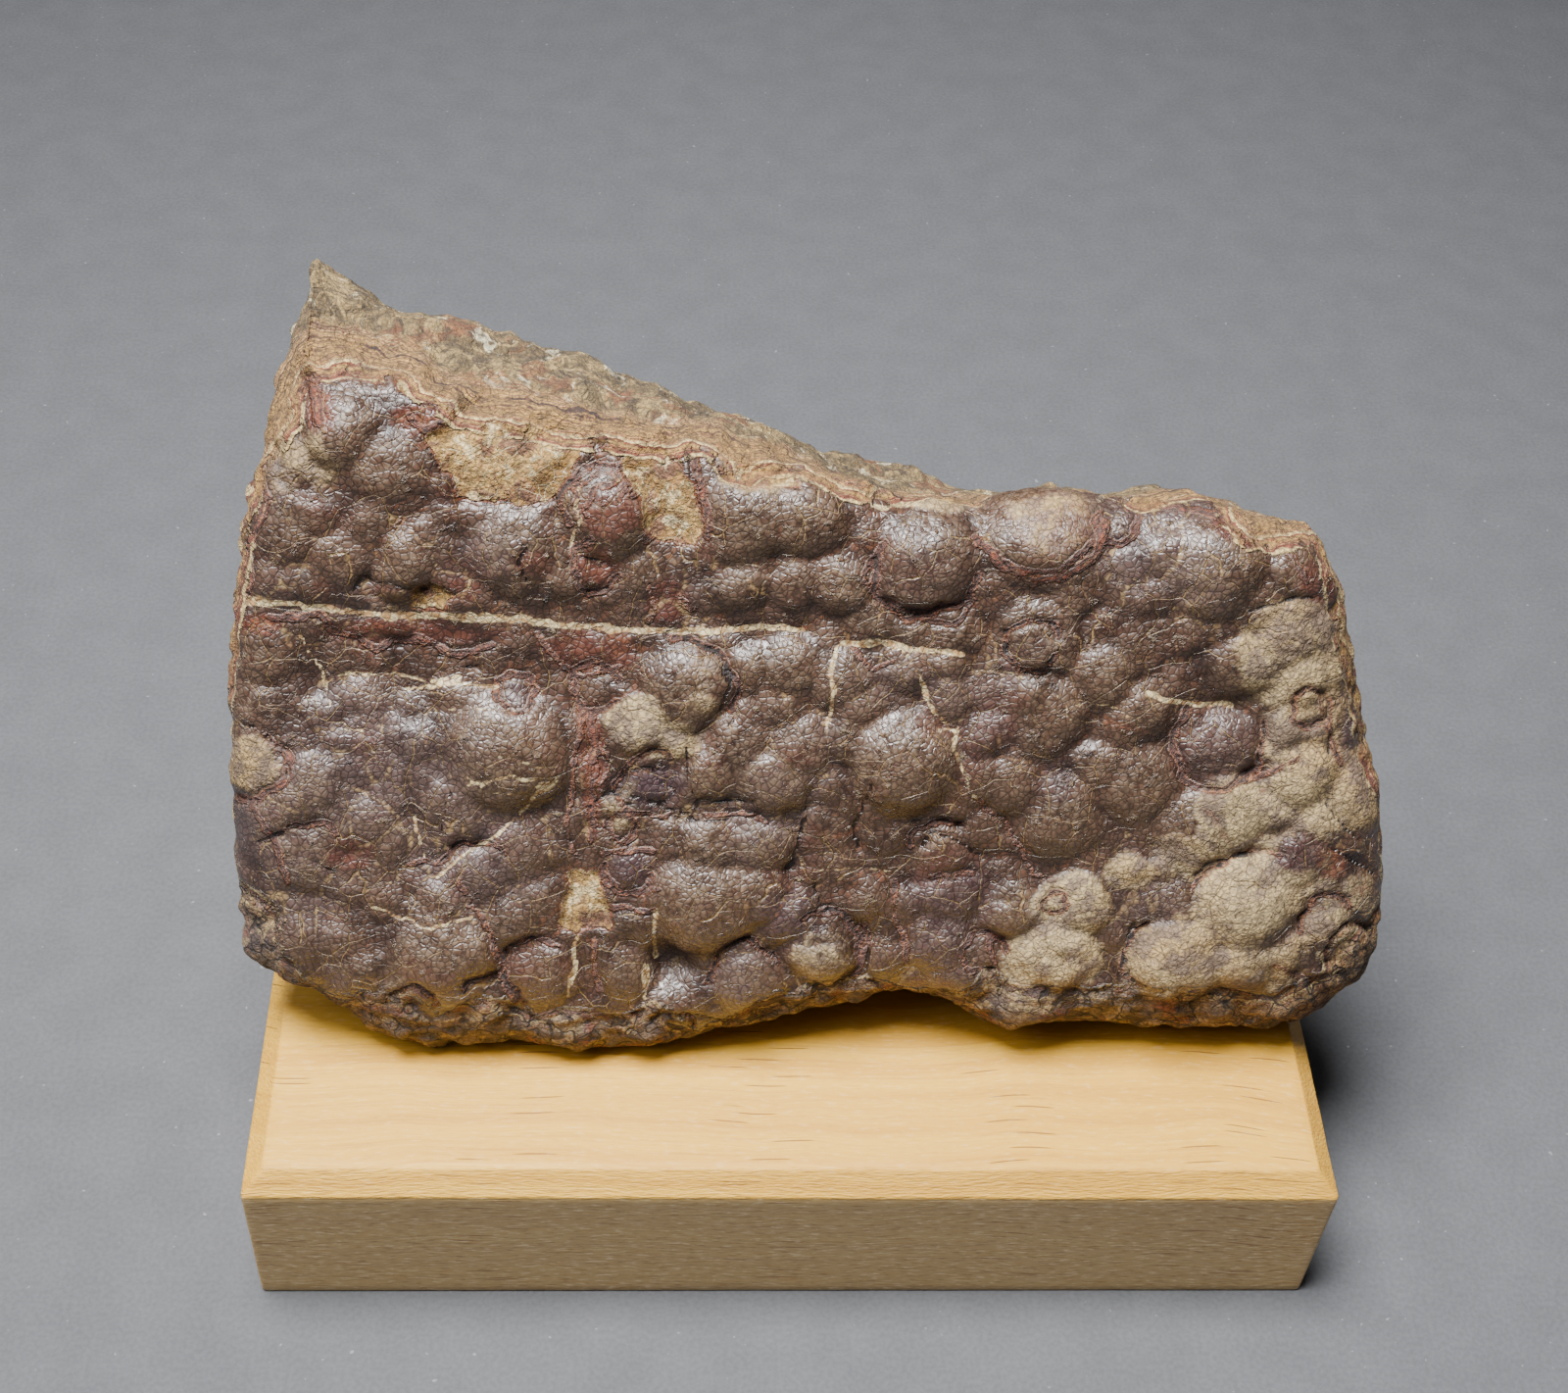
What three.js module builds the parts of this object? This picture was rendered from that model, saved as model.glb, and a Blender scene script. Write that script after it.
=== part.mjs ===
import * as THREE from "three";

// A hand specimen of schalenblende sphalerite: a slab of layered ore whose face is a skin of
// rounded lumps. It lies back on the top of a small wooden stand.
// Lengths are millimetres, +Z is up and the lumpy face looks towards -Y.

const STAND = { width: 150, depth: 90, height: 28.5, chamfer: 3 };
const REST_GAP = 0.3; // air between the stone and the wood it rests on
const LEAN = THREE.MathUtils.degToRad(28); // how far the face leans back from upright
const FOOT_Y = 15; // where the plane of the face meets the top of the wood
const EYE_U = -20.65; // the reading position of the lumps, seen from in front
const EYE_REACH = 315;

// Grid cells across the face, up it, and through the thickness. The back is half as fine.
const CELLS = { across: 70, up: 44, deep: 5 };
const ROLL = { left: 8, right: 13, bottom: 14, top: 8 }; // width of each rounded edge
const FACE = { width: 155, height: 90 };

// The rim of the face, as [u, v, h]: u across, v up the leaning plane, h out of it.
const BOTTOM_RIM = [
  [-73.5, 18, -6], [-69.5, 17, -6], [-65, 14, -7], [-58, 8, -7.5], [-50, 5.9, -8], [-40, 6.5, -8],
  [-30, 6, -7.5], [-20, 6.2, -7], [-10, 8.8, -9], [0, 11, -9], [8, 12.6, -10], [15, 14.5, -11],
  [20, 13.5, -11], [28, 8.6, -11], [40, 8.8, -12], [50, 8.3, -11.6], [60, 8.3, -11.6],
  [66, 8.6, -11.6], [70.5, 9.6, -12], [77, 13.5, -12],
];
const LEFT_RIM = [
  [-73.5, 18, -6], [-75, 24, -7], [-75.5, 40, -7], [-75.2, 55, -7], [-74.3, 66, -6],
  [-73, 76, -6], [-71, 85, -6], [-68.3, 92, -6], [-66, 98, -6], [-65, 102, -6],
];
const TOP_RIM = [
  [-65, 102, -6], [-60, 99.5, -5], [-50, 100, -5], [-45, 98, -5], [-40, 96.5, -5],
  [-35, 96, -5], [-30, 95.5, -5], [-25, 94, -5], [-20, 93.5, -5], [-15, 92, -5], [-10, 91, -5],
  [-5, 89.5, -5], [0, 88, -5], [5, 86.3, -5], [10, 84.8, -5], [20, 83.7, -6], [30, 84.3, -6],
  [40, 84.6, -6], [50, 84.2, -6], [55, 83.5, -6], [60, 81.7, -7], [65, 77.5, -9],
];
const RIGHT_RIM = [
  [77, 13.5, -12], [80.6, 18, -12], [81.2, 24, -12], [80.6, 32, -12], [79, 42, -12],
  [76.2, 49, -11], [74.4, 57, -11], [71.8, 65.5, -10], [68.8, 72, -9], [65, 77.5, -9],
];

// The rim of the back: the foot and the two ends as [x, y, z], the top as [u, v, h].
const BACK_FOOT = [[-66, 70, 31], [-50, 76, 28.8], [-25, 80, 28.8], [10, 82, 28.8],
  [45, 79, 28.8], [74, 70, 30]];
const BACK_TOP = [[-66.5, 107, -30], [-56, 102, -31], [-40, 99, -32], [-20, 92.5, -33],
  [0, 85.5, -33], [20, 79.5, -33], [40, 79, -32], [64, 74, -28]];
const BACK_BULGE = 3.5;

// Height the broken top stands over a straight line from front to back, along the face.
const TOP_CREST = [[-66, 9.5], [-62, 6.4], [-58, 4.2], [-50, 3.4], [-36, 3.0], [-20, 2.4],
  [0, 1.7], [20, 0.8], [45, 0.8], [66, 0.6]];

// Lumps as read on the plane of the face: [u, v, radius of the footprint].
const LUMPS = [
  // upper left
  [-59.5, 92.5, 5], [-54.3, 87.5, 5], [-49.5, 90, 2.5], [-56.2, 81.7, 3.8], [-59.9, 83.9, 2],
  [-46.9, 81.7, 2.5], [-43.2, 82, 2.5], [-60.6, 76.5, 4], [-52.1, 75.8, 4.5], [-49.9, 78.7, 3],
  [-47.3, 77.3, 3], [-69.5, 73.2, 2.5], [-63.2, 72.4, 3], [-38.4, 77.6, 5.5], [-32, 75.4, 4],
  [-29.9, 80.6, 3], [-26.3, 83, 6.5], [-28, 75.8, 3], [-54.3, 99, 2.5], [-57.3, 97.6, 2.5],
  [-60.2, 98.4, 2], [-68.7, 87.3, 3], [-65.8, 87, 3], [-68.7, 82, 4], [-63.9, 82, 3.5],
  [-66.9, 78.4, 4],
  // upper middle
  [-8.7, 82.4, 6], [-2.1, 82.8, 6], [-22.4, 75.4, 3.8], [-17.6, 75.8, 2], [-13.6, 78, 2.5],
  [-9.1, 73.6, 4.2], [-2.8, 73.6, 3.8], [3.5, 73.9, 4.5], [14.4, 77, 6.6], [6.8, 81.3, 2.5],
  [23.5, 75, 3], [25.3, 72.4, 2], [4.2, 87.3, 3.5], [16.4, 84.5, 3],
  // upper right
  [29.6, 82, 8], [38.8, 82.8, 2.8], [42.5, 83.5, 2], [46.2, 83.9, 3], [54, 76.1, 4.5],
  [52.1, 77.3, 7], [46.6, 78.7, 4], [44, 81.3, 2.5], [41, 76.5, 3], [36.6, 76.1, 3],
  [33.3, 72.8, 3.5], [28.8, 73.2, 2], [44.7, 73.2, 3], [58.4, 72.4, 3.5], [62.5, 76.5, 4],
  // left, from the vein down
  [-70.6, 63, 4], [-65, 67, 3], [-62, 63, 3.5], [-57.3, 62.7, 3.5], [-58, 57.9, 3.5],
  [-46.5, 57.9, 3.5], [-38.4, 58.6, 2.5], [-32.8, 60.1, 2.5], [-28.4, 63.8, 3], [-28, 59.3, 3],
  [-72.4, 56, 4.5], [-68, 55.3, 2.5], [-65.8, 54.5, 2], [-62.4, 55.3, 2.5], [-66.9, 51.6, 2],
  [-62, 50.8, 2], [-58.7, 51.9, 3], [-53.9, 52.3, 3], [-51.3, 51.2, 3.5], [-46.9, 51.6, 3],
  [-47.3, 54.1, 2.5], [-39.5, 50.5, 8], [-33.2, 56.7, 2.5], [-31.3, 53.8, 2],
  [-73.2, 47.9, 4.5], [-65.8, 44.5, 5], [-62.4, 42.7, 4], [-58, 40, 4], [-55.8, 42.7, 3],
  [-53.9, 46.4, 2.5], [-57.3, 48.6, 2.5], [-46.5, 41.9, 5], [-24.3, 53, 3],
  // middle
  [-16.1, 59.7, 6], [-22.4, 54.5, 4.5], [-18, 52.3, 3.5], [-23.2, 42.7, 3], [-12.5, 47.5, 4.8],
  [-4.5, 47, 5.2], [-9, 51.5, 5], [-8.5, 55, 3.5], [-1.5, 51.5, 4.5], [-8.5, 62, 4],
  [-2.5, 62.5, 4.5], [-4, 57.5, 3.5], [3.9, 61.2, 4.5], [1.6, 66.4, 3], [6.8, 57.5, 4],
  [5.3, 53, 3.5], [13, 49.5, 7.5], [3.1, 45.6, 3], [5.3, 43.4, 3], [7.6, 42.7, 3],
  [1.3, 40.4, 3], [3.9, 40.1, 3], [10, 40.4, 3], [12.7, 39.7, 3], [-8.4, 69, 2.5], [7.6, 69, 4],
  [12.7, 67.9, 4], [17.6, 67.1, 4.5], [12.4, 63, 4], [17.6, 63.8, 3.5], [17.9, 59, 3.5],
  [23.5, 53.4, 4], [23.1, 59.3, 3], [22, 47.5, 4], [19.8, 43.4, 3], [23.9, 40.4, 3],
  // right
  [29.6, 66.7, 6], [37.7, 68.6, 3], [42.1, 67.1, 3.5], [45.9, 67.5, 3], [41.8, 72, 3],
  [43.6, 63.8, 2.5], [49.2, 68.2, 3], [56.6, 63.8, 5], [62.1, 67.5, 4], [65.9, 68.6, 3],
  [68, 67.5, 3], [64.4, 61.2, 4], [68.4, 64.1, 3], [67, 57.9, 2.5], [63.6, 55.3, 3.5],
  [60.3, 57.5, 3], [54.9, 52.3, 5], [38.5, 62, 5], [44, 57, 5], [43.3, 55.3, 4.5],
  [32.5, 56.7, 5], [28.8, 59.3, 4.5], [31, 53, 4], [25.9, 53.8, 3.5], [28.1, 50.1, 2.5],
  [32.9, 49.3, 2.5], [45.1, 46.7, 6], [38.8, 49.3, 4], [34.5, 42, 6], [27.3, 46.4, 4],
  [65.9, 47.9, 5], [74.4, 46.4, 5], [75.9, 42.7, 3], [56.6, 42.7, 6], [62.9, 43.4, 4],
  [69.2, 40.8, 4], [52.1, 45.6, 2.5], [47, 40.8, 3], [71.8, 54.5, 2.5],
  // lower left
  [-68.4, 41, 5], [-67.3, 38.4, 3], [-62.4, 39.2, 4.5], [-55.8, 37.3, 3.5], [-54.3, 38.4, 2.5],
  [-66, 34.5, 5.5], [-73.9, 32.9, 3], [-61.7, 31.8, 4], [-57.3, 33.3, 3], [-51.3, 37, 3],
  [-43.6, 32.9, 4.5], [-38, 36.6, 5], [-39.5, 26.2, 4.5], [-36.1, 29.2, 3.5],
  [-72.4, 27.7, 3], [-67.3, 28.1, 2.5], [-56.5, 29.2, 3.5], [-48.4, 28.4, 4.5],
  [-52, 26.2, 4], [-46.1, 26.2, 4], [-48.7, 20, 8], [-59.5, 18.8, 4.5], [-62, 23.3, 4],
  [-67.6, 23.3, 4], [-67.3, 19.9, 3.5], [-74.3, 23.3, 2.5], [-55.8, 14.4, 3.5],
  [-52.8, 11.4, 4], [-46.5, 11.8, 3.5], [-42.4, 14, 4], [-35.4, 18.1, 5], [-32.1, 9.6, 4.5],
  // lower middle
  [-23.6, 33.6, 3.2], [-17.3, 38.4, 3], [-12, 38, 4.5], [-6, 37.5, 5], [-13.5, 28.5, 7.3],
  [-6.5, 30.5, 4.5], [-22.4, 25.1, 3.5], [-23.9, 18.8, 4.5], [-26.5, 22.1, 3],
  [-18, 13.6, 3.5], [-16.9, 8.8, 3], [-1.8, 27, 4.5], [-7.3, 23.3, 2.5], [-7.3, 17.3, 5],
  [3.1, 21.8, 5], [6.1, 28.8, 3], [9, 29.9, 3.5], [0.9, 38.1, 3], [4.3, 38.4, 3],
  [9.4, 35.1, 2.5], [11.3, 38.4, 3], [14.2, 38.8, 3], [4.6, 34, 3], [0.9, 33.6, 3],
  [18.7, 36.6, 4.5], [19.8, 30.3, 5], [14.6, 29.2, 4], [19.8, 23.6, 5], [12.4, 21.8, 3],
  [21.6, 18.8, 4.5], [25.3, 21.8, 3], [16.4, 18.1, 3], [-2, 14.4, 3], [9, 16.6, 3],
  // lower right
  [28.8, 28.4, 4.5], [37.3, 29.2, 5], [34.7, 20.7, 6], [42.5, 25.5, 3], [32.1, 14.4, 5],
  [40.7, 15.9, 3.5], [44.4, 34, 3], [49.6, 34.4, 3], [53.6, 40.3, 6], [61, 29.6, 7.5],
  [51.8, 29.2, 4], [51.8, 20.3, 7], [61, 21, 5], [65.9, 22.1, 4], [67, 36.6, 4.5],
  [72.1, 35.5, 2.8], [76.6, 36.6, 3], [77, 32.9, 3], [72.1, 30.3, 3], [72.9, 26.2, 4],
  [77, 22.1, 4],
];
const LUMP_RISE = 0.42; // height of a lump as a share of its footprint radius
const RIM_RISE = { left: 0.35, right: 0.35, bottom: 0.6, top: 0.7 }; // the lumps sink at the rim
const FILLER = { spacing: 4.6, least: 2.4, most: 3.9, rise: 0.3, clear: 0.8 };

// Broad swells and valleys of the whole face: [u, v, reach in u, reach in v, height].
const SWELLS = [
  [-57, 61, 17, 7, -2.6], [-48, 22, 13, 9, 1.2], [-12, 29, 11, 9, 1.2], [5, 49, 22, 9, 1.0],
  [57, 25, 13, 10, 1.4], [-39, 50, 9, 8, 0.8], [55, 72, 14, 9, 1.0], [-18, 19.5, 4, 4, -3],
  [20, 30, 9, 8, -0.8], [-30, 60, 7, 6, -1.0], [56, 58, 6, 4, -1.2], [-4, 68, 40, 3, -0.7],
];

// Places where the skin is broken away and the layers under it lie open: outline and depth.
const BROKEN = [
  { depth: 0.9, edge: [[-49.1, 92.4], [-47.3, 93.2], [-40.6, 98], [-36.9, 95.4], [-30.2, 95],
    [-30.2, 89.9], [-32.1, 87.3], [-33.9, 84.3], [-38, 83.4], [-43.2, 83.9], [-45.4, 84.5],
    [-46.1, 86.9], [-48, 89.5]] },
  { depth: 0.9, edge: [[-24.7, 89.5], [-22.4, 91.7], [-18, 90.6], [-16, 86.5], [-14.3, 81.3],
    [-15.8, 78.7], [-20.6, 79.5], [-22.4, 83.9], [-24.7, 88]] },
  { depth: 0.4, edge: [[-31.9, 33.3], [-27.6, 33.3], [-27.3, 30.7], [-25.4, 25.1], [-29.9, 24.7],
    [-32.8, 25.1], [-32.4, 28.4]] },
  { depth: 0.6, edge: [[-24.7, 48.6], [-16.5, 48.6], [-16.5, 42.7], [-24.7, 42.7]] },
  { depth: 0.8, edge: [[-53.6, 97], [-45, 97], [-45, 101.3], [-53.6, 101.3]] },
];

const clamp01 = (x) => Math.min(1, Math.max(0, x));
const smooth = (x) => clamp01(x) ** 2 * (3 - 2 * clamp01(x));
const mix = (a, b, t) => a.map((value, i) => value + (b[i] - value) * t);
const plus = (a, b, k = 1) => a.map((value, i) => value + b[i] * k);
const dot = (a, b) => a[0] * b[0] + a[1] * b[1] + a[2] * b[2];
const cross = (a, b) => [a[1] * b[2] - a[2] * b[1], a[2] * b[0] - a[0] * b[2],
  a[0] * b[1] - a[1] * b[0]];
const unit = (a) => a.map((value) => value / Math.hypot(...a));

// A repeatable number from 0 to 1 for a pair, or a triple, of whole numbers.
function hash(i, j, k = 0) {
  const x = Math.sin(i * 12.9898 + j * 78.233 + k * 37.719) * 43758.5453;
  return x - Math.floor(x);
}

// Smooth noise from -1 to 1 in space, one wave per unit.
function noise(x, y, z) {
  const [i, j, k] = [x, y, z].map(Math.floor);
  const [a, b, c] = [x - i, y - j, z - k].map(smooth);
  let sum = 0;
  for (const di of [0, 1])
    for (const dj of [0, 1])
      for (const dk of [0, 1])
        sum += (di ? a : 1 - a) * (dj ? b : 1 - b) * (dk ? c : 1 - c)
          * hash(i + di, j + dj, k + dk);
  return sum * 2 - 1;
}

// A point of the face frame in the frame of the stand.
const fromFace = ([u, v, h]) => [
  u,
  FOOT_Y + v * Math.sin(LEAN) - h * Math.cos(LEAN),
  STAND.height + v * Math.cos(LEAN) + h * Math.sin(LEAN),
];

// The point at a share of the length of a line of points.
function along(line, share) {
  const steps = line.slice(1).map((p, i) => Math.hypot(...plus(p, line[i], -1)));
  let left = clamp01(share) * steps.reduce((a, b) => a + b);
  for (let i = 0; i < steps.length; i++) {
    if (left <= steps[i] || i === steps.length - 1)
      return mix(line[i], line[i + 1], left / steps[i]);
    left -= steps[i];
  }
}

// The value at x on a line of [x, value] pairs.
function level(line, x) {
  for (let i = 1; i < line.length; i++)
    if (x <= line[i][0] || i === line.length - 1) {
      const t = clamp01((x - line[i - 1][0]) / (line[i][0] - line[i - 1][0]));
      return line[i - 1][1] + (line[i][1] - line[i - 1][1]) * t;
    }
}

// A surface stretched between four edges that meet at the corners.
function stretched(bottom, top, left, right, s, t) {
  const [b, e, l, r] = [along(bottom, s), along(top, s), along(left, t), along(right, t)];
  const low = mix(bottom[0], bottom.at(-1), s);
  const high = mix(top[0], top.at(-1), s);
  return b.map((_, i) => b[i] * (1 - t) + e[i] * t + l[i] * (1 - s) + r[i] * s
    - low[i] * (1 - t) - high[i] * t);
}

// Spreads even steps so that they close up on the rounded edges: near is at 0, far at 1.
function spread(step, near, far) {
  const arc = Math.PI / 2;
  const place = step * (1 + (arc - 1) * (near + far));
  if (place < near * arc) return near * (1 - Math.cos(place / near));
  const back = 1 + (arc - 1) * (near + far) - place;
  if (back < far * arc) return 1 - far * (1 - Math.cos(back / far));
  return near + (place - near * arc);
}

const quarter = (x) => 1 - Math.sqrt(1 - (1 - clamp01(x)) ** 2);

// The face without its lumps, at grid shares s and t.
function plainFace(i, j) {
  const s = spread(i, ROLL.left / FACE.width, ROLL.right / FACE.width);
  const t = spread(j, ROLL.bottom / FACE.height, ROLL.top / FACE.height);
  const [u, v] = stretched(BOTTOM_RIM, TOP_RIM, LEFT_RIM, RIGHT_RIM, s, t);
  const turned = [
    [quarter((s * FACE.width) / ROLL.left), along(LEFT_RIM, t)[2]],
    [quarter(((1 - s) * FACE.width) / ROLL.right), along(RIGHT_RIM, t)[2]],
    [quarter((t * FACE.height) / ROLL.bottom), along(BOTTOM_RIM, s)[2]],
    [quarter(((1 - t) * FACE.height) / ROLL.top), along(TOP_RIM, s)[2]],
  ];
  const flat = turned.reduce((product, [q]) => product * (1 - q), 1);
  const weight = turned.reduce((sum, [q]) => sum + q, 1e-9);
  let h = (turned.reduce((sum, [q, drop]) => sum + q * drop, 0) / weight) * (1 - flat);
  for (const [cu, cv, ru, rv, rise] of SWELLS)
    h += rise * flat * Math.exp(-(((u - cu) / ru) ** 2) - ((v - cv) / rv) ** 2);
  return [u, v, h];
}

// Moves a place read on the plane of the face onto the surface at height h.
const onSurface = (u, v, h) => [
  u - (h * (u - EYE_U)) / EYE_REACH,
  v + h * (0.54 - 0.0034 * v),
];

// True distance to an outline: below zero inside it.
function outside(edge, u, v) {
  let nearest = Infinity;
  let inside = false;
  edge.forEach(([au, av], i) => {
    const [bu, bv] = edge[(i + 1) % edge.length];
    const t = clamp01(((u - au) * (bu - au) + (v - av) * (bv - av))
      / ((bu - au) ** 2 + (bv - av) ** 2));
    nearest = Math.min(nearest, Math.hypot(u - au - (bu - au) * t, v - av - (bv - av) * t));
    if (av > v !== bv > v && u < au + ((v - av) * (bu - au)) / (bv - av)) inside = !inside;
  });
  return inside ? -nearest : nearest;
}

const brokenness = (patch, u, v) => smooth(0.5 - outside(patch.edge, u, v) / 1.6);

// The base grid of the face, its outward directions, and the lumps that stand on it.
const { across, up, deep } = CELLS;
const grid = [];
for (let i = 0; i <= across; i++)
  grid.push(Array.from({ length: up + 1 }, (_, j) => plainFace(i / across, j / up)));
const outward = grid.map((column, i) => column.map((_, j) => {
  const du = plus(grid[Math.min(i + 1, across)][j], grid[Math.max(i - 1, 0)][j], -1);
  const dv = plus(column[Math.min(j + 1, up)], column[Math.max(j - 1, 0)], -1);
  return unit(cross(du, dv));
}));

function nearestOnGrid(u, v) {
  let best = Infinity;
  let found = null;
  grid.forEach((column, i) => column.forEach((p, j) => {
    const far = Math.hypot(p[0] - u, p[1] - v) - p[2] * 0.05;
    if (far < best) [best, found] = [far, [i, j]];
  }));
  return found;
}

// A ball sunk into the face so that it rises by the given height over its footprint.
function ball(u, v, radius, rise) {
  const [i, j] = nearestOnGrid(u, v);
  const h = grid[i][j][2];
  const [trueU, trueV] = onSurface(u, v, h);
  const [gi, gj] = nearestOnGrid(trueU, trueV);
  const size = (radius ** 2 + rise ** 2) / (2 * rise);
  const foot = [trueU, trueV, grid[gi][gj][2]];
  return { centre: plus(foot, outward[gi][gj], rise - size), size };
}

const balls = LUMPS.map(([u, v, r]) => ball(u, v, r, r * LUMP_RISE));
for (let i = 0; i < 37; i++)
  for (let j = 0; j < 24; j++) {
    const u = -80 + (i + hash(i, j)) * FILLER.spacing;
    const v = 2 + (j + hash(j, i, 5)) * FILLER.spacing;
    const r = FILLER.least + (FILLER.most - FILLER.least) * hash(i, j, 9);
    const free = LUMPS.every(([lu, lv, lr]) => Math.hypot(u - lu, v - lv) > lr * FILLER.clear);
    const [gi, gj] = nearestOnGrid(u, v);
    if (free && Math.hypot(grid[gi][gj][0] - u, grid[gi][gj][1] - v) < 4)
      balls.push(ball(u, v, r, r * FILLER.rise));
  }

// How far the lumps stand over the base at a point, along its outward direction.
function lumpHeight(point, normal) {
  let highest = 0;
  for (const { centre, size } of balls) {
    const towards = plus(centre, point, -1);
    const depth = dot(towards, normal);
    const inside = size ** 2 - dot(towards, towards) + depth ** 2;
    if (inside > 0) highest = Math.max(highest, depth + Math.sqrt(inside));
  }
  return highest;
}

// The finished face, in the frame of the stand.
const KEEP_OUT = STAND.height + REST_GAP;
const settled = (p) => [p[0], p[1], Math.max(p[2], KEEP_OUT)];
function rimShare(i, j) {
  const s = spread(i / across, ROLL.left / FACE.width, ROLL.right / FACE.width);
  const t = spread(j / up, ROLL.bottom / FACE.height, ROLL.top / FACE.height);
  const ends = [[s * FACE.width / ROLL.left, RIM_RISE.left],
    [(1 - s) * FACE.width / ROLL.right, RIM_RISE.right],
    [t * FACE.height / ROLL.bottom, RIM_RISE.bottom],
    [(1 - t) * FACE.height / ROLL.top, RIM_RISE.top]];
  return Math.min(...ends.map(([x, least]) => least + (1 - least) * smooth(x)));
}
const rise = grid.map((column, i) => column.map((p, j) => {
  const around = [[i - 1, j], [i + 1, j], [i, j - 1], [i, j + 1]]
    .filter(([a, b]) => a >= 0 && a <= across && b >= 0 && b <= up);
  const half = around.map(([a, b]) => lumpHeight(mix(p, grid[a][b], 0.5), outward[i][j]));
  const mean = half.reduce((sum, one) => sum + one, 0) / half.length;
  let height = ((2 * lumpHeight(p, outward[i][j]) + mean) / 3) * rimShare(i, j);
  const [u, v] = [p[0], p[1] - p[2] * 0.3];
  for (const patch of BROKEN) {
    const share = brokenness(patch, u, v);
    height = height * (1 - share * 0.85)
      - share * patch.depth * (1 + 0.6 * noise(u / 2.5, v / 2.5, 1));
  }
  return height;
}));
const face = grid.map((column, i) =>
  column.map((p, j) => fromFace(plus(p, outward[i][j], rise[i][j]))));

// The grid places of the rim, anticlockwise seen from in front, for a grid of n by m cells.
function rimPlaces(n, m) {
  const places = [];
  for (let i = 0; i < n; i++) places.push([i, 0]);
  for (let j = 0; j < m; j++) places.push([n, j]);
  for (let i = n; i > 0; i--) places.push([i, m]);
  for (let j = m; j > 0; j--) places.push([0, j]);
  return places;
}

// The back of the slab, broken and rough, stretched between its own four edges.
const backTop = BACK_TOP.map(fromFace);
const backLeft = [BACK_FOOT[0], backTop[0]];
const backRight = [BACK_FOOT.at(-1), backTop.at(-1)];
const roughness = (x, y, z) => 1.5 * noise(x / 13, y / 13, z / 9) + 0.9 * noise(x / 5, y / 5, z / 4)
  + 0.45 * noise(x / 2.3, y / 2.3, z / 2);
function backPoint(s, t) {
  const p = stretched(BACK_FOOT, backTop, backLeft, backRight, s, t);
  const swell = BACK_BULGE * Math.sin(Math.PI * s) * Math.sin(Math.PI * t);
  const edge = Math.min(1, 6 * Math.min(s, 1 - s, t, 1 - t));
  return settled([p[0], p[1] + swell + edge * roughness(...p), p[2]]);
}

// The broken sides: rings of points from the rim of the face to the rim of the back.
const places = rimPlaces(across, up);
const rings = Array.from({ length: deep - 1 }, (_, k) => {
  const w = (k + 1) / deep;
  return places.map(([i, j]) => {
    const rim = grid[i][j];
    const start = fromFace(rim);
    const end = backPoint(i / across, j / up);
    const fade = Math.exp(-w * 9) * Math.max(0, rise[i][j]);
    const out = outward[i][j];
    let p = mix(start, end, w);
    const turned = plus(fromFace(out), fromFace([0, 0, 0]), -1);
    p = plus(p, turned, fade);
    const bow = Math.sin(Math.PI * w);
    const isTop = j === up;
    const crest = isTop ? bow * level(TOP_CREST, rim[0]) : bow * (j === 0 ? 0.8 : 1.2);
    const edge = isTop ? 0.8 : 1;
    const ledge = isTop ? 0.8 * noise(p[0] / 26, p[1] / 2.6, 3) : 0;
    const lift = crest + bow * edge * roughness(...p) + ledge * bow;
    return settled(plus(p, turned, lift));
  });
});

// Collects the points and triangles of one closed surface.
class Shell {
  points = [];
  triangles = [];
  add(point) {
    this.points.push(...point);
    return this.points.length / 3 - 1;
  }
  quad(a, b, c, d) {
    const [pa, pb, pc, pd] = [a, b, c, d].map((n) => this.points.slice(n * 3, n * 3 + 3));
    const shorter = Math.hypot(...plus(pa, pc, -1)) <= Math.hypot(...plus(pb, pd, -1));
    if (shorter) this.triangles.push(a, b, c, a, c, d);
    else this.triangles.push(a, b, d, b, c, d);
  }
  geometry() {
    const made = new THREE.BufferGeometry();
    made.setAttribute("position", new THREE.Float32BufferAttribute(this.points, 3));
    made.setIndex(this.triangles);
    made.computeVertexNormals();
    return made;
  }
}

function stoneGeometry() {
  const shell = new Shell();
  const front = face.map((column) => column.map((p) => shell.add(settled(p))));
  for (let i = 0; i < across; i++)
    for (let j = 0; j < up; j++)
      shell.quad(front[i][j], front[i + 1][j], front[i + 1][j + 1], front[i][j + 1]);
  let last = places.map(([i, j]) => front[i][j]);
  for (const ring of rings) {
    const next = ring.map((p) => shell.add(p));
    last.forEach((a, k) => {
      const n = (k + 1) % last.length;
      shell.quad(a, next[k], next[n], last[n]);
    });
    last = next;
  }
  // The back has half as many cells each way, so two steps of the last ring meet one of its own.
  const [halfAcross, halfUp] = [across / 2, up / 2];
  const back = [];
  for (let i = 0; i <= halfAcross; i++)
    back.push(Array.from({ length: halfUp + 1 }, (_, j) =>
      shell.add(backPoint(i / halfAcross, j / halfUp))));
  for (let i = 0; i < halfAcross; i++)
    for (let j = 0; j < halfUp; j++)
      shell.quad(back[i][j], back[i][j + 1], back[i + 1][j + 1], back[i + 1][j]);
  const backRim = rimPlaces(halfAcross, halfUp).map(([i, j]) => back[i][j]);
  backRim.forEach((b, k) => {
    const c = backRim[(k + 1) % backRim.length];
    const [p, q, r] = [2 * k, 2 * k + 1, (2 * k + 2) % last.length].map((n) => last[n]);
    shell.triangles.push(p, b, q, q, b, c, q, c, r);
  });
  return shell.geometry();
}

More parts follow.
